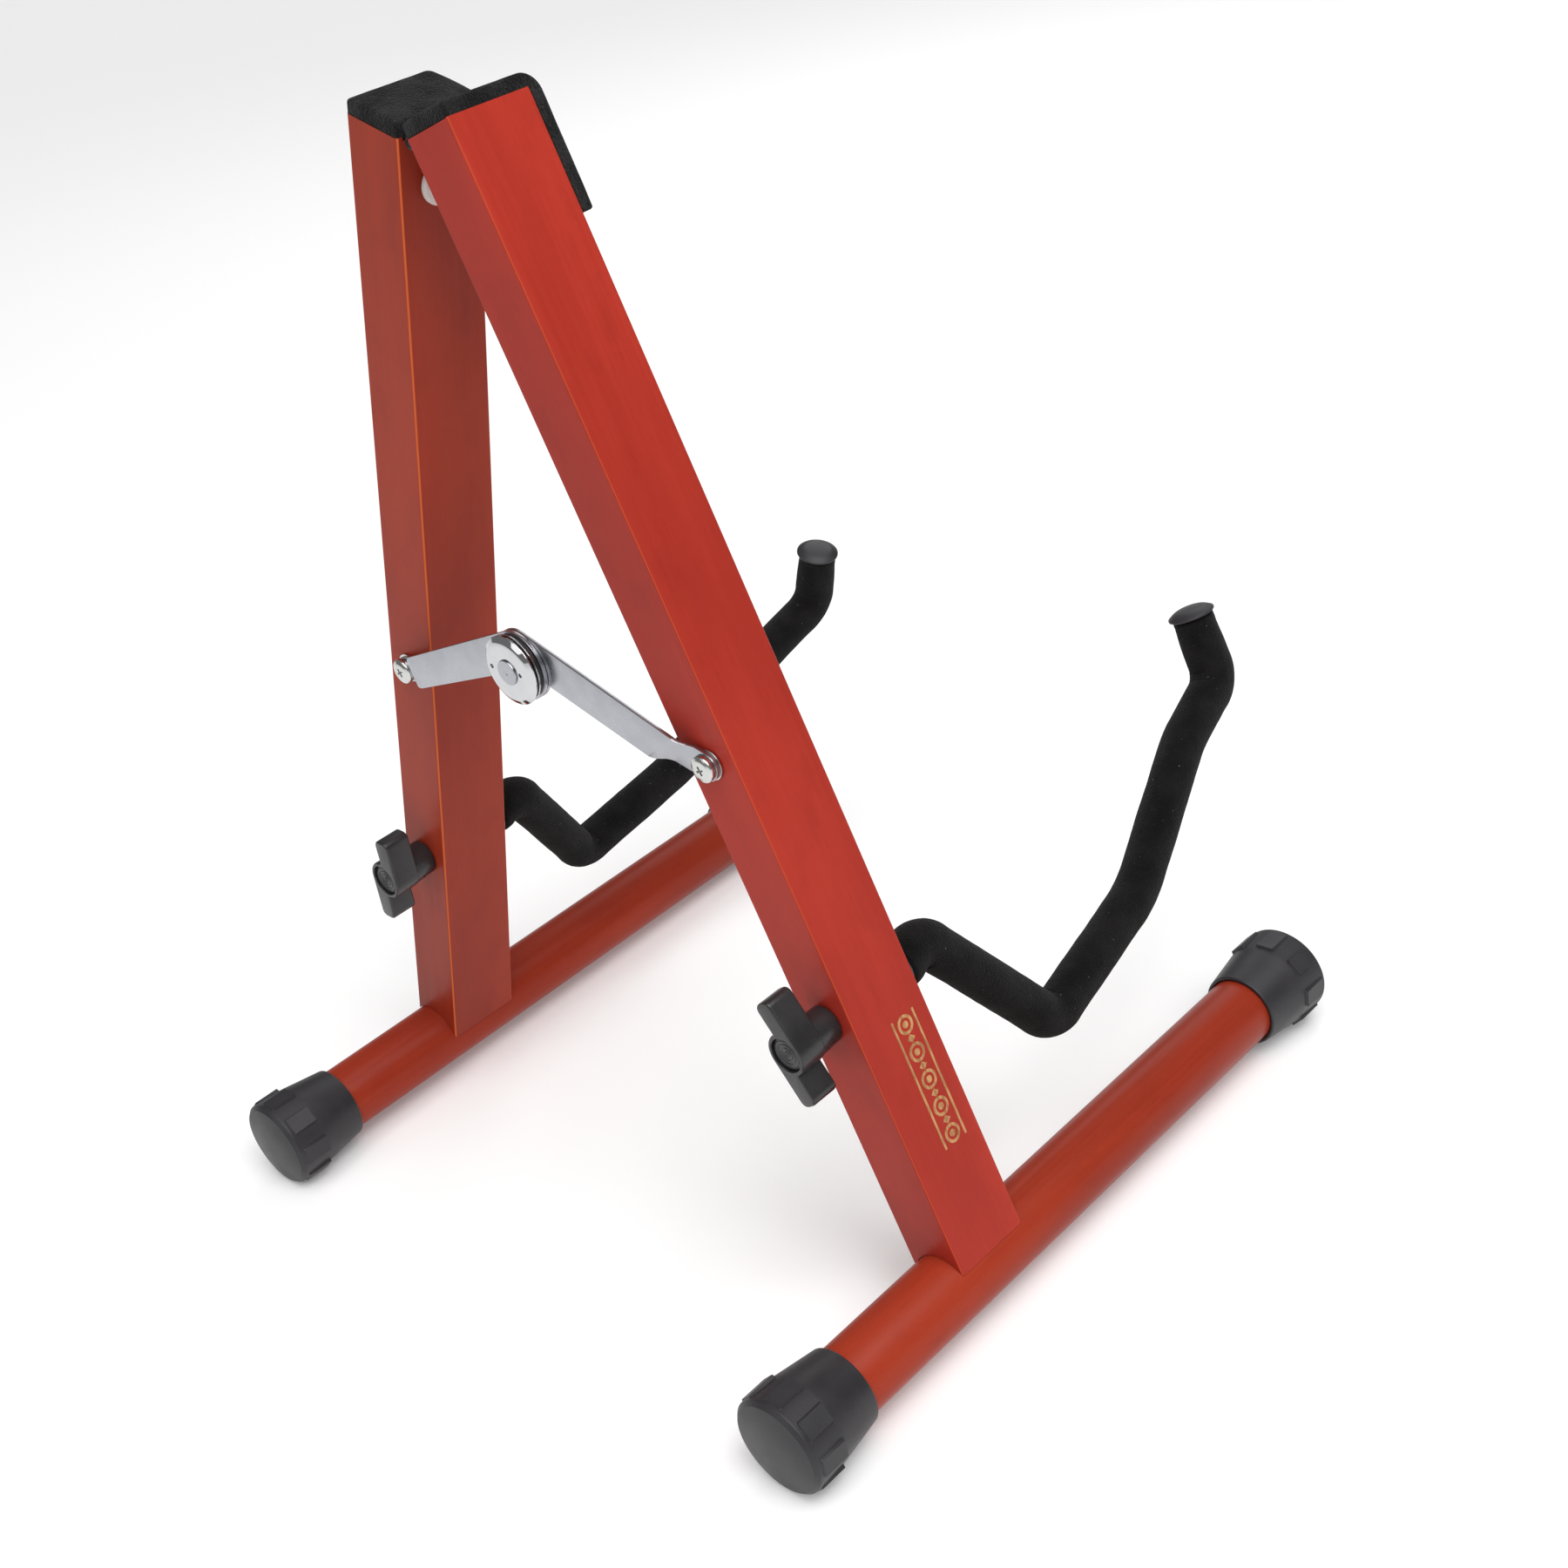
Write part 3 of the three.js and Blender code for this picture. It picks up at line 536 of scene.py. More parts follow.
def base_bar():
    """Turned dowel with two countersunk screw holes underneath."""
    front, back = -BAR_FRONT - CAP_INSIDE, BAR_BACK + CAP_INSIDE
    ease = 1 * MM
    profile = filleted([
        (0, front, 0), (BAR_RADIUS, front, ease), (BAR_RADIUS, back, ease), (0, back, 0),
    ], 3)
    reach = 8 * MM  # of the drill, well past the bar's surface
    sink = filleted([(0, 0, 0), (0.9 * BAR_SCREW_HEAD, 0, 0), (BAR_SCREW_HEAD, reach, 0), (0, reach, 0)])
    drill = lathe(sink, "drill", 32)
    holes = []
    down = Matrix.Rotation(-math.pi / 2, 4, "X")
    for station in BAR_SCREW_STATIONS:
        holes.append(moved(drill, Matrix.Translation((0, station, -BAR_RADIUS + HEAD_SINK)) @ down))
    return combined(lathe(profile, "base_bar", 128), holes)


CAP_LENGTH = 38.5 * MM
CAP_MOUTH = 15.7 * MM  # outer radii of the cap, from its mouth to its closed end
CAP_LIP = 16.4 * MM
CAP_FLARE = 19.3 * MM
CAP_RIM = 20 * MM
CAP_DOME = 18.4 * MM
DOME_START = 36.2 * MM
DOME_STEPS = 14
PAD_REACH = 20.4 * MM  # from the bar's axis to a raised pad's flat face
PAD_COUNT = 8
PAD_START = 21 * MM
PAD_END = 33 * MM


def cap_radius(radius, station, angle):
    """Outer radius of the cap, with its raised flat-faced pads."""
    if radius < BAR_RADIUS + 1.5 * MM:
        return radius
    pitch = 2 * math.pi / PAD_COUNT
    off = (angle + pitch / 2) % pitch - pitch / 2
    half = pitch / 4
    ease = 0.2 * MM
    side = (half - abs(off)) * CAP_FLARE
    inside = smoothstep(side, -ease, ease)
    inside *= smoothstep(station, PAD_START - ease, PAD_START + ease)
    inside *= 1 - smoothstep(station, PAD_END - ease, PAD_END + ease)
    face = PAD_REACH / math.cos(off)
    return radius + (face - radius) * inside


def end_cap():
    """Rubber cap with its mouth at y = 0 and its closed end towards +Y."""
    bore = BAR_RADIUS + GAP
    seat = CAP_INSIDE + GAP
    lip = 0.5 * MM
    inside = filleted([(0, seat, 0), (bore, seat, lip), (bore, 0, lip), (CAP_MOUTH, 0, 0)], 5)
    outside = filleted([
        (CAP_MOUTH, 0, 0), (CAP_LIP, 0, 0.7 * MM), (CAP_FLARE, PAD_START - 1 * MM, 14 * MM),
        (CAP_RIM, 34.6 * MM, 0.8 * MM), (CAP_DOME, DOME_START, 0),
    ], 5)
    dome = []
    for k in range(DOME_STEPS + 1):
        part = 1 - k / DOME_STEPS
        dome.append(Vector((CAP_DOME * part, DOME_START + (CAP_LENGTH - DOME_START) * (1 - part ** 2))))
    profile = [*inside[:-1], *refined(outside, 0.25 * MM)[:-1], *dome]
    return lathe(profile, "end_cap", 384, 30, cap_radius)


# ------------------------------------------------------------------ foam

def lumps(place, layers):
    """Height of a foam skin's lumps. Each layer has its height and how many lumps there are in a metre."""
    return sum(height * noise.noise(place * per_metre) for height, per_metre in layers)


PAD_THICKNESS = 4.8 * MM
PAD_FLAP = 43 * MM
PAD_HALF = LEG_HALF - 0.1 * MM
PAD_ROUND = 1.5 * MM  # of the pad's outer edges
PAD_BED = 0.5 * MM  # the glued side is pressed this far past the gap, so no light shows under it
PAD_CROWN = 0.35 * MM  # the middle of the pad stands this far above its edges
PAD_LUMPS = [(0.12 * MM, 160)]


def pad_section():
    """Outline of the pad across the leg and out of it, with rounded outer edges."""
    section = filleted([
        (-PAD_HALF, -PAD_BED, 0.2 * MM), (PAD_HALF, -PAD_BED, 0.2 * MM),
        (PAD_HALF, PAD_THICKNESS, PAD_ROUND), (-PAD_HALF, PAD_THICKNESS, PAD_ROUND),
    ], 5, closed=True)
    return evenly([*section, section[0]], 0.7 * MM)[:-1]


def top_pad():
    """Foam strip over the leg's top end and down its front face, in side space."""
    top = LEG_LENGTH + GAP
    front = -LEG_FACE - GAP
    line = filleted([(LEG_FACE, top, 0), (front, top, 2.6 * MM), (front, LEG_LENGTH - PAD_FLAP, 0)], 16)
    line = refined(line, 0.5 * MM)
    run = distances(line)
    section = pad_section()
    rings = []
    for i, point in enumerate(line):
        along = heading(line, i)
        out = Vector((along.y, -along.x))
        pull = drawn_in(min(run[i], run[-1] - run[i]), PAD_ROUND)
        ring = []
        for u, v in section:
            share = v / PAD_THICKNESS  # 0 at the leg and 1 at the pad's outer face
            crown = PAD_CROWN * (1 - (u / PAD_HALF) ** 2) * share
            at = point + out * (min(v, PAD_THICKNESS - pull * share) + crown)
            at += out * lumps(Vector((u, at.x, at.y)), PAD_LUMPS) * share
            width = u * (1 - 0.5 * pull / PAD_HALF)
            ring.append(Vector((width, at.x, at.y)))
        rings.append(ring)
    return grid_of_rings(rings, "top_pad", 50)


def cradle_corners(side):
    """Corners of the rod: forward from the legs' middle plane, up from the rod's own hole, bend radius.

    Past its first hump the right rod is set back, and it droops from its low bend to its tip.
    """
    setback, droop = (RIGHT_SETBACK, RIGHT_DROOP) if side == "right" else (0, 0)

    def placed(forward, up, radius):
        share = max(forward - LOW_BEND, 0) / (TIP_REACH - LOW_BEND)
        return (forward - setback, up - droop * share, radius)

    return [
        (23 * MM, 0, 9 * MM),
        (35.5 * MM - setback / 4, 4.5 * MM, 10.5 * MM),
        placed(LOW_BEND, -58.5 * MM, 11 * MM),
        placed(148.5 * MM, -41 * MM, 60 * MM),
        placed(206.5 * MM, -0.5 * MM, 50 * MM),
        placed(TIP_REACH, 12.5 * MM, 13 * MM),
        placed(TIP_REACH, TIP_TOP, 0),
    ]


SLEEVE_START = LEG_FACE + 3.6 * MM  # against the collar
SLEEVE_STEP = 1.1 * MM  # from one ring of the sleeve's mesh to the next
SLEEVE_SEGMENTS = 72
SLEEVE_ROUND = 1.2 * MM  # of the rims at both ends
SLEEVE_SLACK = 0.25 * MM  # leaves the lumps room inside the sleeve's radius
SLEEVE_LUMPS = [(0.22 * MM, 55), (0.10 * MM, 230)]
TIP_NARROWING = 0.55 * MM
TIP_RINGS = 14  # the narrowing is spread over these
BEND_RINGS = 5  # a bend is measured between the rings this far before and after
TIGHT_BEND = 0.9 * MM  # how far inside the line their midpoint lies where the bend is tight
BEND_SWELL = 0.3 * MM  # on the outside of a tight bend
CREASE_DEPTH = 0.32 * MM  # on its inside
CREASE_RINGS = 2.4  # from one crease to the next


def cradle_sleeve(side):
    """Foam tube along the bent rod, in the cradle's space: it swells and creases where the rod bends."""
    line = evenly(filleted([(SLEEVE_START, 0, 0), *cradle_corners(side)], 24), SLEEVE_STEP)
    last = len(line) - 1
    rings = []
    for i, point in enumerate(line):
        along = heading(line, i)
        across = Vector((-along.y, along.x))
        inner = (line[max(i - BEND_RINGS, 0)] + line[min(i + BEND_RINGS, last)]) / 2 - point
        bend = min(inner.length / TIGHT_BEND, 1)
        hollow = 1 if inner.dot(across) >= 0 else -1  # the side of the line that the bend's inside is on
        wave = 0.5 - 0.5 * math.cos(2 * math.pi * i / CREASE_RINGS)
        mean = SLEEVE_RADIUS - SLEEVE_SLACK - drawn_in(min(i, last - i) * SLEEVE_STEP, SLEEVE_ROUND)
        mean -= TIP_NARROWING * (1 - smoothstep(last - i, 0, TIP_RINGS))
        ring = []
        for k in range(SLEEVE_SEGMENTS):
            angle = 2 * math.pi * k / SLEEVE_SEGMENTS
            c, s = math.cos(angle), math.sin(angle)
            inside = max(c * hollow, 0) * bend
            outside = max(-c * hollow, 0) * bend
            off = across * c * SLEEVE_RADIUS
            place = Vector((s * SLEEVE_RADIUS, point.x, point.y)) + Vector((0, *off))
            radius = mean + BEND_SWELL * outside - CREASE_DEPTH * inside ** 2 * wave
            radius += lumps(place, SLEEVE_LUMPS)
            reach = across * (c * radius)
            ring.append(Vector((s * radius, -(point.x + reach.x), point.y + reach.y)))
        rings.append(ring)
    return grid_of_rings(rings, "cradle_sleeve", 60)


def tip_cap():
    """Push-in plastic cap on the sleeve's upper end, its axis along +Y from the sleeve's end."""
    brim = SLEEVE_RADIUS + 0.5 * MM
    stem, stem_length = 4 * MM, 8 * MM
    under = GAP / 3  # the brim's underside
    return lathe(filleted([
        (0, -stem_length, 0), (stem, -stem_length, 0.5 * MM), (stem, under, 0), (brim, under, 0.3 * MM),
        (brim, 1.0 * MM, 0.5 * MM), (7 * MM, 2.9 * MM, 7 * MM), (0, 3.6 * MM, 0),
    ], 10), "tip_cap", 96, 40)


def collar():
    """Plastic ring between the leg and the foam, its face on the leg at y = 0 and its body towards -Y."""
    bore = 4.5 * MM
    rim = SLEEVE_RADIUS - 0.2 * MM
    depth = 3 * MM
    return lathe(filleted([
        (bore, 0, 0), (rim, 0, 0.3 * MM), (rim, -depth, 0.7 * MM), (bore, -depth, 0),
    ], 5), "collar", 96)


# ------------------------------------------------------------------ wing knobs

WING_REACH = 21 * MM
WING_WIDTH = 8.5 * MM
HUB_WIDTH = 8.6 * MM
KNOB_DEPTH = 12 * MM
KNOB_EDGE = 0.9 * MM
KNOB_TWIST = math.radians(15)
BOSS_RADIUS = 8.3 * MM
DISC_RADIUS = 6.6 * MM
DISC_SINK = 2.2 * MM
INSERT_HOLE = 6.3 * MM  # radii of the holes for the insert and for the rod
ROD_HOLE = 4.5 * MM


def wing_outline():
    """S-shaped outline: a round hub with one wing up its -X edge and one down its +X edge."""
    inner = HUB_WIDTH - WING_WIDTH
    meet = math.acos(inner / HUB_WIDTH)  # where the wing's inner edge meets the hub
    corner = 3 * MM
    upper = filleted([
        (-HUB_WIDTH, 0, 0), (-HUB_WIDTH, WING_REACH, corner), (-inner, WING_REACH, corner),
        (-inner, HUB_WIDTH * math.sin(meet) + 0.4 * MM, 0),
    ], 7)
    upper += arc(0, 0, HUB_WIDTH, 180 - math.degrees(meet) - 6, 2, 14)
    return upper + [-point for point in upper]


def wing_knob():
    """Knob with its boss on the leg at KNOB_SEAT and its face at KNOB_BACK."""
    wings = extruded(wing_outline(), KNOB_BACK - KNOB_DEPTH, KNOB_BACK, "knob", KNOB_EDGE, 4)
    boss_end = KNOB_BACK - 4 * MM  # inside the wings' hub
    boss = lathe(filleted([
        (0, KNOB_SEAT, 0), (7.6 * MM, KNOB_SEAT, 0.6 * MM),
        (BOSS_RADIUS, KNOB_BACK - KNOB_DEPTH + 2 * MM, 0),
        (BOSS_RADIUS, boss_end, 0), (0, boss_end, 0),
    ], 5), "boss", 72)
    solid = combined(wings, [boss], "UNION")
    bore, floor, above = DISC_RADIUS + GAP, KNOB_BACK - DISC_SINK, KNOB_BACK + 0.4 * MM
    recess = lathe(filleted([
        (0, floor, 0), (bore, floor, 0.3 * MM), (bore, KNOB_BACK - 0.3 * MM, 0),
        (DISC_RADIUS + 0.9 * MM, above, 0), (0, above, 0),
    ], 4), "recess", 72)
    before_seat = KNOB_SEAT - 1 * MM
    insert_hole = drum(INSERT_HOLE, before_seat, KNOB_SEAT + 11.3 * MM)
    rod_hole = drum(ROD_HOLE, before_seat, 35 * MM)
    return combined(solid, [recess, insert_hole, rod_hole])


def knob_disc():
    """Disc with raised rings, in the recess of the knob's face."""
    floor = KNOB_BACK - DISC_SINK + 0.2 * MM
    top = floor + 0.9 * MM
    ring_height, ring_pitch, ring_half = 0.35 * MM, 1.5 * MM, 0.35 * MM
    profile = [(0, floor, 0), (DISC_RADIUS, floor, 0), (DISC_RADIUS, top, 0.3 * MM)]
    for ring in (4, 3, 2, 1):
        crest = ring * ring_pitch - 0.4 * MM
        profile.append((crest + ring_half, top, 0))
        profile.append((crest, top + ring_height, 0.12 * MM))
        profile.append((crest - ring_half, top, 0))
    profile.append((0, top, 0))
    return lathe(filleted(profile, 3), "knob_disc", 72, 50)


# ------------------------------------------------------------------ folding stay

PIVOT_X = abs(middle("left_stay_screw").x)
ARM_LENGTH = math.hypot(PIVOT_X, HUB_RISE)
ARM_RISE = math.atan2(HUB_RISE, PIVOT_X)
STAY_ORIGIN = Vector((0, LEG_PLANE, middle("left_stay_screw").z))
SCREW_HOLE = 2.3 * MM  # radii of the holes in the arms' tabs and in everything that is on the hub
HUB_HOLE = 3.6 * MM
STEP_CUTS = 16  # the slices that an arm's step is bent in


def eased_ramp(x, start, end, ease=2.2 * MM):
    """0 before start and 1 after end, straight between them, with rounded bends."""
    def soft(t):
        return max(t, 0) if abs(t) > ease else (t + ease) ** 2 / (4 * ease)
    return (soft(x - start) - soft(x - end)) / (end - start)


def arm_outline(tab_end, tab_half, slant):
    """Outline of a stay arm in X and Z: a narrow tab, a strip that widens, and a round hub."""
    strip_start = tab_end + 4 * MM
    lean = slant * 2 * tab_half  # how much sooner the strip starts on the upper edge
    lower = -180 + math.degrees(math.asin(2.7 * MM / HUB_RADIUS))
    outline = arc(0, 0, tab_half, 90, 270, 24)
    outline += filleted([
        (0, -tab_half, 0), (tab_end, -tab_half, 1.2 * MM), (strip_start, -tab_half - 1 * MM, 2 * MM),
        (ARM_LENGTH - 1.2 * HUB_RADIUS, -3 * MM, 0),
    ], 5)[1:-1]
    outline += arc(ARM_LENGTH, 0, HUB_RADIUS, lower, 90, 48)
    outline += filleted([
        (ARM_LENGTH, HUB_RADIUS, 0), (strip_start - lean, tab_half + 2 * MM, 1.5 * MM),
        (tab_end - lean, tab_half, 1.5 * MM), (0, tab_half, 0),
    ], 5)[1:-1]
    return outline


def stay_arm(level, tab_end, tab_half, step, slant):
    """Pressed strip from its screw at the origin to its hub along +X, where its front is at a level.

    It steps back between two places in X. The step runs across it at a slant, in X for each unit of Z.
    """
    start, end = step
    cuts = [start + (end - start) * k / STEP_CUTS for k in range(-6, STEP_CUTS + 7)]
    mesh = extruded(arm_outline(tab_end, tab_half, slant), 0, PLATE, "stay_arm", 0.22 * MM, 2, cuts, slant)
    for vertex in mesh.vertices:
        risen = eased_ramp(vertex.co.x + slant * vertex.co.z, start, end)
        vertex.co.y += TAB_LEVEL + (level - TAB_LEVEL) * risen
    screw_hole = drum(SCREW_HOLE, TAB_LEVEL - 2 * MM, TAB_LEVEL + 4 * MM)
    hub_hole = drum(HUB_HOLE, level - 2 * MM, level + 4 * MM)
    return combined(mesh, [screw_hole, moved(hub_hole, Matrix.Translation((ARM_LENGTH, 0, 0)))])


def ring_plate(inner, outer, low, high, name):
    """Flat ring with its outer rims eased."""
    ease = 0.12 * MM
    return lathe(filleted([
        (inner, low, 0), (outer, low, ease), (outer, high, ease), (inner, high, 0),
    ], 4), name, 96)


COVER_EDGE = 29.5 * MM
COVER_TOP = 31.4 * MM
COVER_HOLES = [(8.7 * MM, 0.8 * MM), (-7.2 * MM, 0.2 * MM)]


def hub_cover():
    """Domed cover over the hub, with two dimples."""
    skirt = COVER_EDGE + 0.5 * MM
    dome = lathe(filleted([
        (HUB_HOLE, COVER_EDGE, 0), (HUB_RADIUS, COVER_EDGE, 0.15 * MM), (HUB_RADIUS, skirt, 0.4 * MM),
        (11.2 * MM, COVER_TOP + 0.2 * MM, 4.5 * MM), (HUB_HOLE, COVER_TOP, 0),
    ], 12), "hub_cover", 160)
    drill = drum(0.9 * MM, skirt, COVER_TOP + 1 * MM, 24)
    return combined(dome, [moved(drill, Matrix.Translation((x, 0, z))) for x, z in COVER_HOLES])


def hub_rivet():
    """Rivet through the hub, with one head under the left arm and one with a dimple on the cover."""
    head = 5.2 * MM
    shank = 3.2 * MM
    end = LEFT_LEVEL - 1.6 * MM
    seat = LEFT_LEVEL - 0.2 * MM
    top = COVER_TOP + 0.1 * MM  # where the other head starts
    return lathe(filleted([
        (0, end, 0), (head, end, 0.4 * MM), (head, seat, 0), (shank, seat, 0),
        (shank, top, 0), (5.1 * MM, top, 0.1 * MM), (5.0 * MM, top + 0.65 * MM, 0.3 * MM),
        (0.9 * MM, top + 0.6 * MM, 0.1 * MM), (0.6 * MM, top + 0.4 * MM, 0.1 * MM), (0, top + 0.4 * MM, 0),
    ], 4), "hub_rivet", 72)


SCREW_HEAD = 5.2 * MM
SCREW_RISE = 2.9 * MM
SCREW_SHANK = 2 * MM
CROSS_HALF = Vector((0.45 * MM, 1.2 * MM, 2.6 * MM))  # half the width, depth and length of one slot


def cross_slot(top, turn):
    """Tapered cutter for one slot of a cross recess, at a head's top and turned about Y by degrees."""
    bm = bmesh.new()
    bmesh.ops.create_cube(bm, size=2)
    bmesh.ops.scale(bm, vec=CROSS_HALF, verts=bm.verts)
    for vert in bm.verts:
        if vert.co.y < 0:
            vert.co.z *= 0.45
    place = Matrix.Translation((0, top, 0)) @ Matrix.Rotation(math.radians(turn), 4, "Y")
    bmesh.ops.transform(bm, matrix=place, verts=bm.verts)
    return to_mesh(bm, "cross")


def stay_screw(shank_end):
    """Pan-head screw along Y with a cross recess in its head."""
    seat = TAB_LEVEL + PLATE + 0.2 * MM
    top = seat + SCREW_RISE
    solid = lathe(filleted([
        (0, shank_end, 0), (SCREW_SHANK, shank_end, 0.4 * MM), (SCREW_SHANK, seat, 0),
        (SCREW_HEAD, seat, 0.3 * MM), (SCREW_HEAD, seat + 0.66 * SCREW_RISE, 0.7 * MM),
        (0.66 * SCREW_HEAD, seat + 0.96 * SCREW_RISE, 2.5 * MM), (0, top, 0),
    ], 5), "stay_screw", 72)
    return combined(solid, [cross_slot(top, turn) for turn in (25, 115)])


# ------------------------------------------------------------------ small parts

def bumper():
    """Felt dot, its back at y = 0 and its crown towards +Y."""
    radius = 8 * MM
    return lathe(filleted([
        (0, 0, 0), (radius, 0, 0.2 * MM), (radius, 2 * MM, 1.1 * MM),
        (5 * MM, 2.9 * MM, 6 * MM), (0, 3 * MM, 0),
    ], 6), "bumper", 72)


MARK_HEIGHT = 79 * MM  # middle of the engraved border, up the leg
MARK_FORWARD = 4.5 * MM
MARK_RAISE = 0.05 * MM
MARK_DEPTH = 0.3 * MM
MARK_LENGTH = 27 * MM  # half the length of the border's two lines
MARK_WIDTH = 5.6 * MM  # from the border's middle to each line
MARK_LINE = 0.5 * MM  # half a line's width
MARK_PITCH = 11.6 * MM
RING_OUTER, RING_INNER, RING_DOT = 3.8 * MM, 2.6 * MM, 1.4 * MM
LOZENGE_WIDTH, LOZENGE_LENGTH = 2 * MM, 1.7 * MM  # from the middle to the corners


def border_shapes():
    """Outlines (back, up) of the border's shapes, each with the outline of its hole or with None."""
    def circle(centre, radius, steps):
        return arc(0, centre, radius, 0, 360, steps)[:-1]

    shapes = []
    for side in (-1, 1):
        front, back = side * MARK_WIDTH - MARK_LINE, side * MARK_WIDTH + MARK_LINE
        line = [(front, -MARK_LENGTH), (back, -MARK_LENGTH), (back, MARK_LENGTH), (front, MARK_LENGTH)]
        shapes.append((line, None))
    for k in range(-2, 3):
        centre = k * MARK_PITCH
        shapes.append((circle(centre, RING_OUTER, 32), circle(centre, RING_INNER, 32)))
        shapes.append((circle(centre, RING_DOT, 20), None))
    for k in (-1.5, -0.5, 0.5, 1.5):
        centre = k * MARK_PITCH
        lozenge = [
            (-LOZENGE_WIDTH, centre), (0, centre - LOZENGE_LENGTH),
            (LOZENGE_WIDTH, centre), (0, centre + LOZENGE_LENGTH),
        ]
        shapes.append((lozenge, None))
    return shapes


def engraved_border():
    """Plain border of rings and lozenges between two lines, on the left leg's outer face."""
    bm = bmesh.new()
    face = -LEG_HALF - MARK_RAISE
    bottom = -LEG_HALF + MARK_DEPTH

    def wall(outline):
        """Two rows of vertices, at the face and at the bottom, with the faces between them."""
        rows = [
            [bm.verts.new((x, y - MARK_FORWARD, z + MARK_HEIGHT)) for y, z in outline]
            for x in (face, bottom)
        ]
        bridge(bm, *rows)
        return rows

    for outline, hole in border_shapes():
        rows = wall(outline)
        if hole:
            for row, hole_row in zip(rows, wall(hole)):
                bridge(bm, row, hole_row)
        else:
            for row in rows:
                bm.faces.new(row)
    return to_mesh(bm, "engraved_border")


# ------------------------------------------------------------------ assembly

WOOD, CAP_SLOT, FOAM_SLOT = "stained_wood", "black_rubber", "black_foam"
PLASTIC, PLATE_SLOT, FELT_SLOT = "black_plastic", "bright_plate", "white_felt"

bar_mesh, cap_mesh, pad_mesh = base_bar(), end_cap(), top_pad()
tip_mesh, collar_mesh = tip_cap(), collar()
knob_mesh, disc_mesh = wing_knob(), knob_disc()
washer_mesh = ring_plate(2.4 * MM, 6 * MM, LEG_FACE + GAP, LEG_FACE + GAP + 0.8 * MM, "stay_washer")


def dress_node(node, material):
    """New material on a CAD node that keeps its own shape."""
    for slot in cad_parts[node].material_slots:
        slot.material = material


def dress_side_frame(side, space):
    """Leg, bar, caps, pad and screws of one side frame."""
    body = f"{side}_frame"
    seed, stain = (0.0, CRIMSON) if side == "left" else (3.1, RUSSET)
    dress_node(f"{side}_leg", stained_wood(f"{side}_leg_wood", space, 2, seed, stain, edges=True))
    bar_wood = stained_wood(f"{side}_bar_wood", Matrix.Identity(4), 1, seed + 1.7, RUSSET)
    stand_in(f"{side}_base_bar", "turned", bar_mesh.copy(), space, body, WOOD, bar_wood)

    level = Matrix.Translation(space.translation)  # without the lean, so each cap stands on a flat pad
    turn_front = Matrix.Translation((0, -BAR_FRONT, 0)) @ Matrix.Rotation(math.pi, 4, "Z")
    front, back = level @ turn_front, level @ Matrix.Translation((0, BAR_BACK, 0))
    stand_in(f"{side}_front_cap", "rubber", cap_mesh.copy(), front, body, CAP_SLOT, RUBBER)
    stand_in(f"{side}_back_cap", "rubber", cap_mesh.copy(), back, body, CAP_SLOT, RUBBER)
    pad = stand_in(f"{side}_top_pad", "foam", pad_mesh.copy(), space, body, FOAM_SLOT, PAD_FOAM)
    for place in ("front", "back"):
        # painted shade: the hinge screws are made near-black for the shade they sit in
        dress_node(f"{side}_hinge_screw_{place}", HINGE_SHADE_BLACK)
        dress_node(f"{side}_bar_screw_{place}", STEEL)
    # painted shade: the hinge leaf is made near-black for the shade under the pads
    dress_node(f"{side}_hinge_leaf", HINGE_SHADE_BLACK)


def dress_cradle(side, hole):
    """Foam sleeve, tip cap, collar and rod of one cradle."""
    body = f"{side}_cradle"
    foam_tube = cradle_sleeve(side)
    sleeve = stand_in(f"{side}_cradle_sleeve", "foam", foam_tube, hole, body, FOAM_SLOT, SLEEVE_FOAM)
    forward, top, _ = cradle_corners(side)[-1]
    tip = hole @ Matrix.Translation((0, -forward, top)) @ Matrix.Rotation(math.pi / 2, 4, "X")
    stand_in(f"{side}_cradle_tip_cap", "moulded", tip_mesh.copy(), tip, body, PLASTIC, RUBBER)
    face = hole @ Matrix.Translation((0, -LEG_FACE - GAP, 0))
    stand_in(f"{side}_cradle_collar", "moulded", collar_mesh.copy(), face, body, PLASTIC, NYLON)
    dress_node(f"{side}_cradle_rod", STEEL)


def dress_knob(side, hole):
    """Wing knob, its disc and its insert."""
    body = f"{side}_knob_body"
    twisted = hole @ Matrix.Rotation(KNOB_TWIST, 4, "Y")
    stand_in(f"{side}_knob", "moulded", knob_mesh.copy(), twisted, body, PLASTIC, NYLON)
    stand_in(f"{side}_knob_disc", "ringed", disc_mesh.copy(), twisted, body, PLASTIC, NYLON)
    dress_node(f"{side}_knob_insert", STEEL)


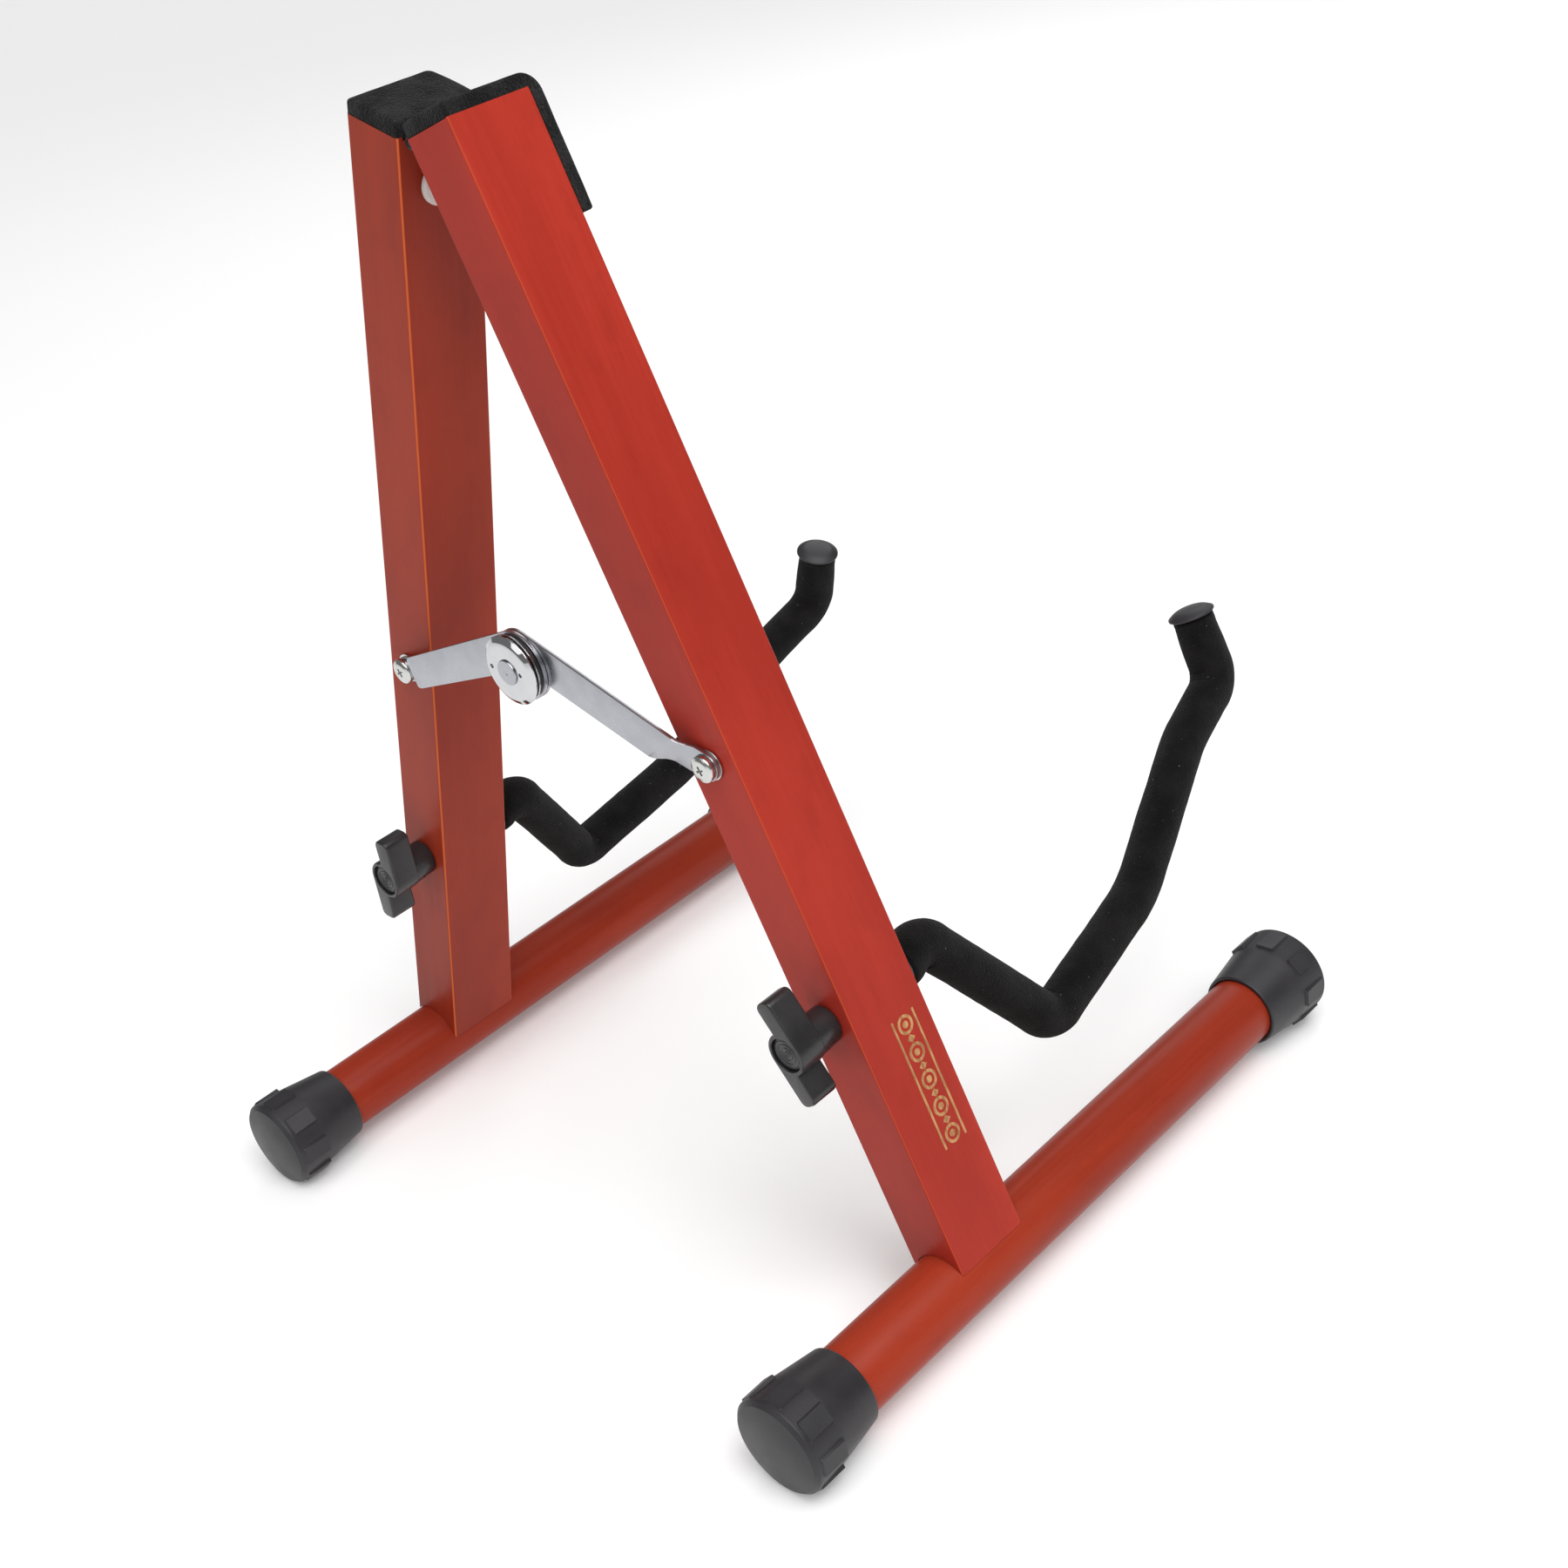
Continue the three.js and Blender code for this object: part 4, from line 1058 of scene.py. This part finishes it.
def dress_stay():
    """Both arms of the stay, with their screws and washers."""
    left, right = (Matrix.Translation(STAY_ORIGIN + Vector((x, 0, 0))) for x in (-PIVOT_X, PIVOT_X))
    left_step, right_step = (11.5 * MM, 17.5 * MM), (7 * MM, 13 * MM)
    left_arm = stay_arm(LEFT_LEVEL, tab_end=18 * MM, tab_half=5.6 * MM, step=left_step, slant=0.8)
    left_place = left @ Matrix.Rotation(-ARM_RISE, 4, "Y")
    stand_in("left_stay_arm", "pressed", left_arm, left_place, "left_stay", PLATE_SLOT, BRIGHT)
    right_arm = stay_arm(RIGHT_LEVEL, tab_end=12 * MM, tab_half=5.2 * MM, step=right_step, slant=0)
    right_arm.transform(Matrix.Scale(-1, 4, (1, 0, 0)))
    right_arm.flip_normals()
    right_place = right @ Matrix.Rotation(ARM_RISE, 4, "Y")
    stand_in("right_stay_arm", "pressed", right_arm, right_place, "right_stay", PLATE_SLOT, BRIGHT)
    for side, pivot, body, shank_end in (
        ("left", left, "left_frame", 1.5 * MM),
        ("right", right, "right_stay", LEG_FACE + GAP),
    ):
        stand_in(f"{side}_stay_screw", "pan", stay_screw(shank_end), pivot, body, PLATE_SLOT, ZINC)
        stand_in(f"{side}_stay_washer", "ring", washer_mesh.copy(), pivot, body, PLATE_SLOT, ZINC)


def dress_hub():
    """The stack on the stay's hub: two black washers and a plate between them, the cover and the rivet."""
    hub = Matrix.Translation(STAY_ORIGIN + Vector((0, 0, HUB_RISE)))
    # outer radius, the levels of both faces from the legs' middle plane, slot, material
    stack = {
        "hub_inner_washer": (13 * MM, 26.2 * MM, 27.6 * MM, PLASTIC, NYLON),
        "hub_spacer_plate": (13.7 * MM, 27.8 * MM, 28.4 * MM, PLATE_SLOT, CHROME),
        "hub_outer_washer": (12.5 * MM, 28.6 * MM, 29.3 * MM, PLASTIC, NYLON),
    }
    for node, (radius, low, high, slot, material) in stack.items():
        mesh = ring_plate(HUB_HOLE, radius, low, high, node)
        stand_in(node, "turned", mesh, hub, "left_stay", slot, material)
    stand_in("hub_cover", "turned", hub_cover(), hub, "left_stay", PLATE_SLOT, CHROME)
    stand_in("hub_rivet", "turned", hub_rivet(), hub, "left_stay", PLATE_SLOT, BRIGHT)


for side, space in SIDES.items():
    dress_side_frame(side, space)
    hole = space @ Matrix.Translation((0, 0, CRADLE_HEIGHT))
    dress_cradle(side, hole)
    dress_knob(side, hole)

piece("engraved_border", engraved_border(), SIDES["left"], "left_frame", WOOD, MARK)
bumper_place = SIDES["right"] @ Matrix.Translation((-LEG_HALF - GAP, 1 * MM, LEG_LENGTH - 20 * MM))
bumper_place = bumper_place @ Matrix.Rotation(math.pi / 2, 4, "Z")
stand_in("closing_bumper", "felt", bumper(), bumper_place, "right_frame", FELT_SLOT, FELT)
# painted shade: the hinge pin is made near-black for the shade it sits in
dress_node("hinge_pin", HINGE_SHADE_BLACK)
dress_stay()
dress_hub()


# ------------------------------------------------------------------ floor, light and camera

FLOOR_SIZE = 40
FLOOR_GLOW = 0.13
ROOM_GLOW = 0.20  # what the room gives the stand
PAPER = 0.87  # what the camera sees of the room
AIM = (0, 0.05, 0.2)
LENS = 49.54  # mm, for a picture as wide as the sensor
SENSOR_WIDTH = 36  # mm
CAMERA_PLACE = (-0.5991, 0.4323, 0.5654)  # from the legs' middle plane at the height of the bars' axes
CAMERA_RIGHT = Vector((-0.7164, -0.6756, -0.1739))
CAMERA_FORWARD = Vector((0.6585, -0.5724, -0.4886))


def stage_floor():
    """White paper, wide enough to hide its edge, with a faint glow that keeps its far parts light."""
    bpy.ops.mesh.primitive_plane_add(size=FLOOR_SIZE, location=(0, 0, 0))
    floor = bpy.context.object
    floor.name = "floor"
    shader = Shader("floor_paper")
    fibres = shader.noise(shader.place, 300, 3)
    floor.data.materials.append(shader.finish(
        Base_Color=shader.blend(fibres, (0.89, 0.89, 0.89), (0.92, 0.92, 0.92)), Roughness=0.8,
        Emission_Color=(1, 1, 1, 1), Emission_Strength=FLOOR_GLOW,
    ))


def lamp(data, place, direction):
    """Puts a light at a place, shining along a direction."""
    light = bpy.data.objects.new(data.name, data)
    light.location = place
    light.rotation_euler = direction.to_track_quat("-Z", "Y").to_euler()
    bpy.context.scene.collection.objects.link(light)


def area_light(name, place, target, size, power):
    """Round light that shines at a target."""
    data = bpy.data.lights.new(name, "AREA")
    data.shape = "DISK"
    data.size = size
    data.energy = power
    lamp(data, place, Vector(target) - Vector(place))


def studio_light():
    """Four soft lights under an overhead glow, in a dim room that the camera sees as pale paper."""
    world = bpy.data.worlds.new("studio")
    bpy.context.scene.world = world
    world.use_nodes = True
    nodes, links = world.node_tree.nodes, world.node_tree.links
    room = nodes["Background"]
    room.inputs["Color"].default_value = (1, 1, 1, 1)
    room.inputs["Strength"].default_value = ROOM_GLOW
    paper = nodes.new("ShaderNodeBackground")
    paper.inputs["Color"].default_value = (PAPER, PAPER, PAPER, 1)
    pick = nodes.new("ShaderNodeMixShader")
    links.new(nodes.new("ShaderNodeLightPath").outputs["Is Camera Ray"], pick.inputs[0])
    links.new(room.outputs[0], pick.inputs[1])
    links.new(paper.outputs[0], pick.inputs[2])
    links.new(pick.outputs[0], nodes["World Output"].inputs["Surface"])
    area_light("key", (-0.62, 0.14, 1.10), (-0.05, 0.05, 0.28), size=0.55, power=3.0)
    area_light("fill", (0.3, 1.8, 1.3), AIM, size=1.4, power=6.4)
    area_light("edge", (-0.72, 0.80, 0.92), AIM, size=0.2, power=0.6)
    area_light("front", (0.9, -1.6, 1.4), AIM, size=1.4, power=8)
    overhead = bpy.data.lights.new("overhead", "SUN")
    overhead.energy = 2.1
    overhead.angle = math.radians(60)
    lamp(overhead, (0, 0, 0), Vector((0.40, -0.10, -0.9)))


def view_camera():
    """Camera behind the stand's left side, looking down at it."""
    data = bpy.data.cameras.new("camera")
    data.sensor_width = SENSOR_WIDTH
    data.lens = LENS
    camera = bpy.data.objects.new("camera", data)
    up = CAMERA_RIGHT.cross(CAMERA_FORWARD)
    turn = Matrix((CAMERA_RIGHT, up, -CAMERA_FORWARD)).transposed().to_4x4()
    x, y, z = CAMERA_PLACE
    camera.matrix_world = Matrix.Translation((x, LEG_PLANE + y, middle("left_base_bar").z + z)) @ turn
    bpy.context.scene.collection.objects.link(camera)
    bpy.context.scene.camera = camera


stage_floor()
studio_light()
view_camera()
bpy.context.scene.view_settings.view_transform = "Standard"
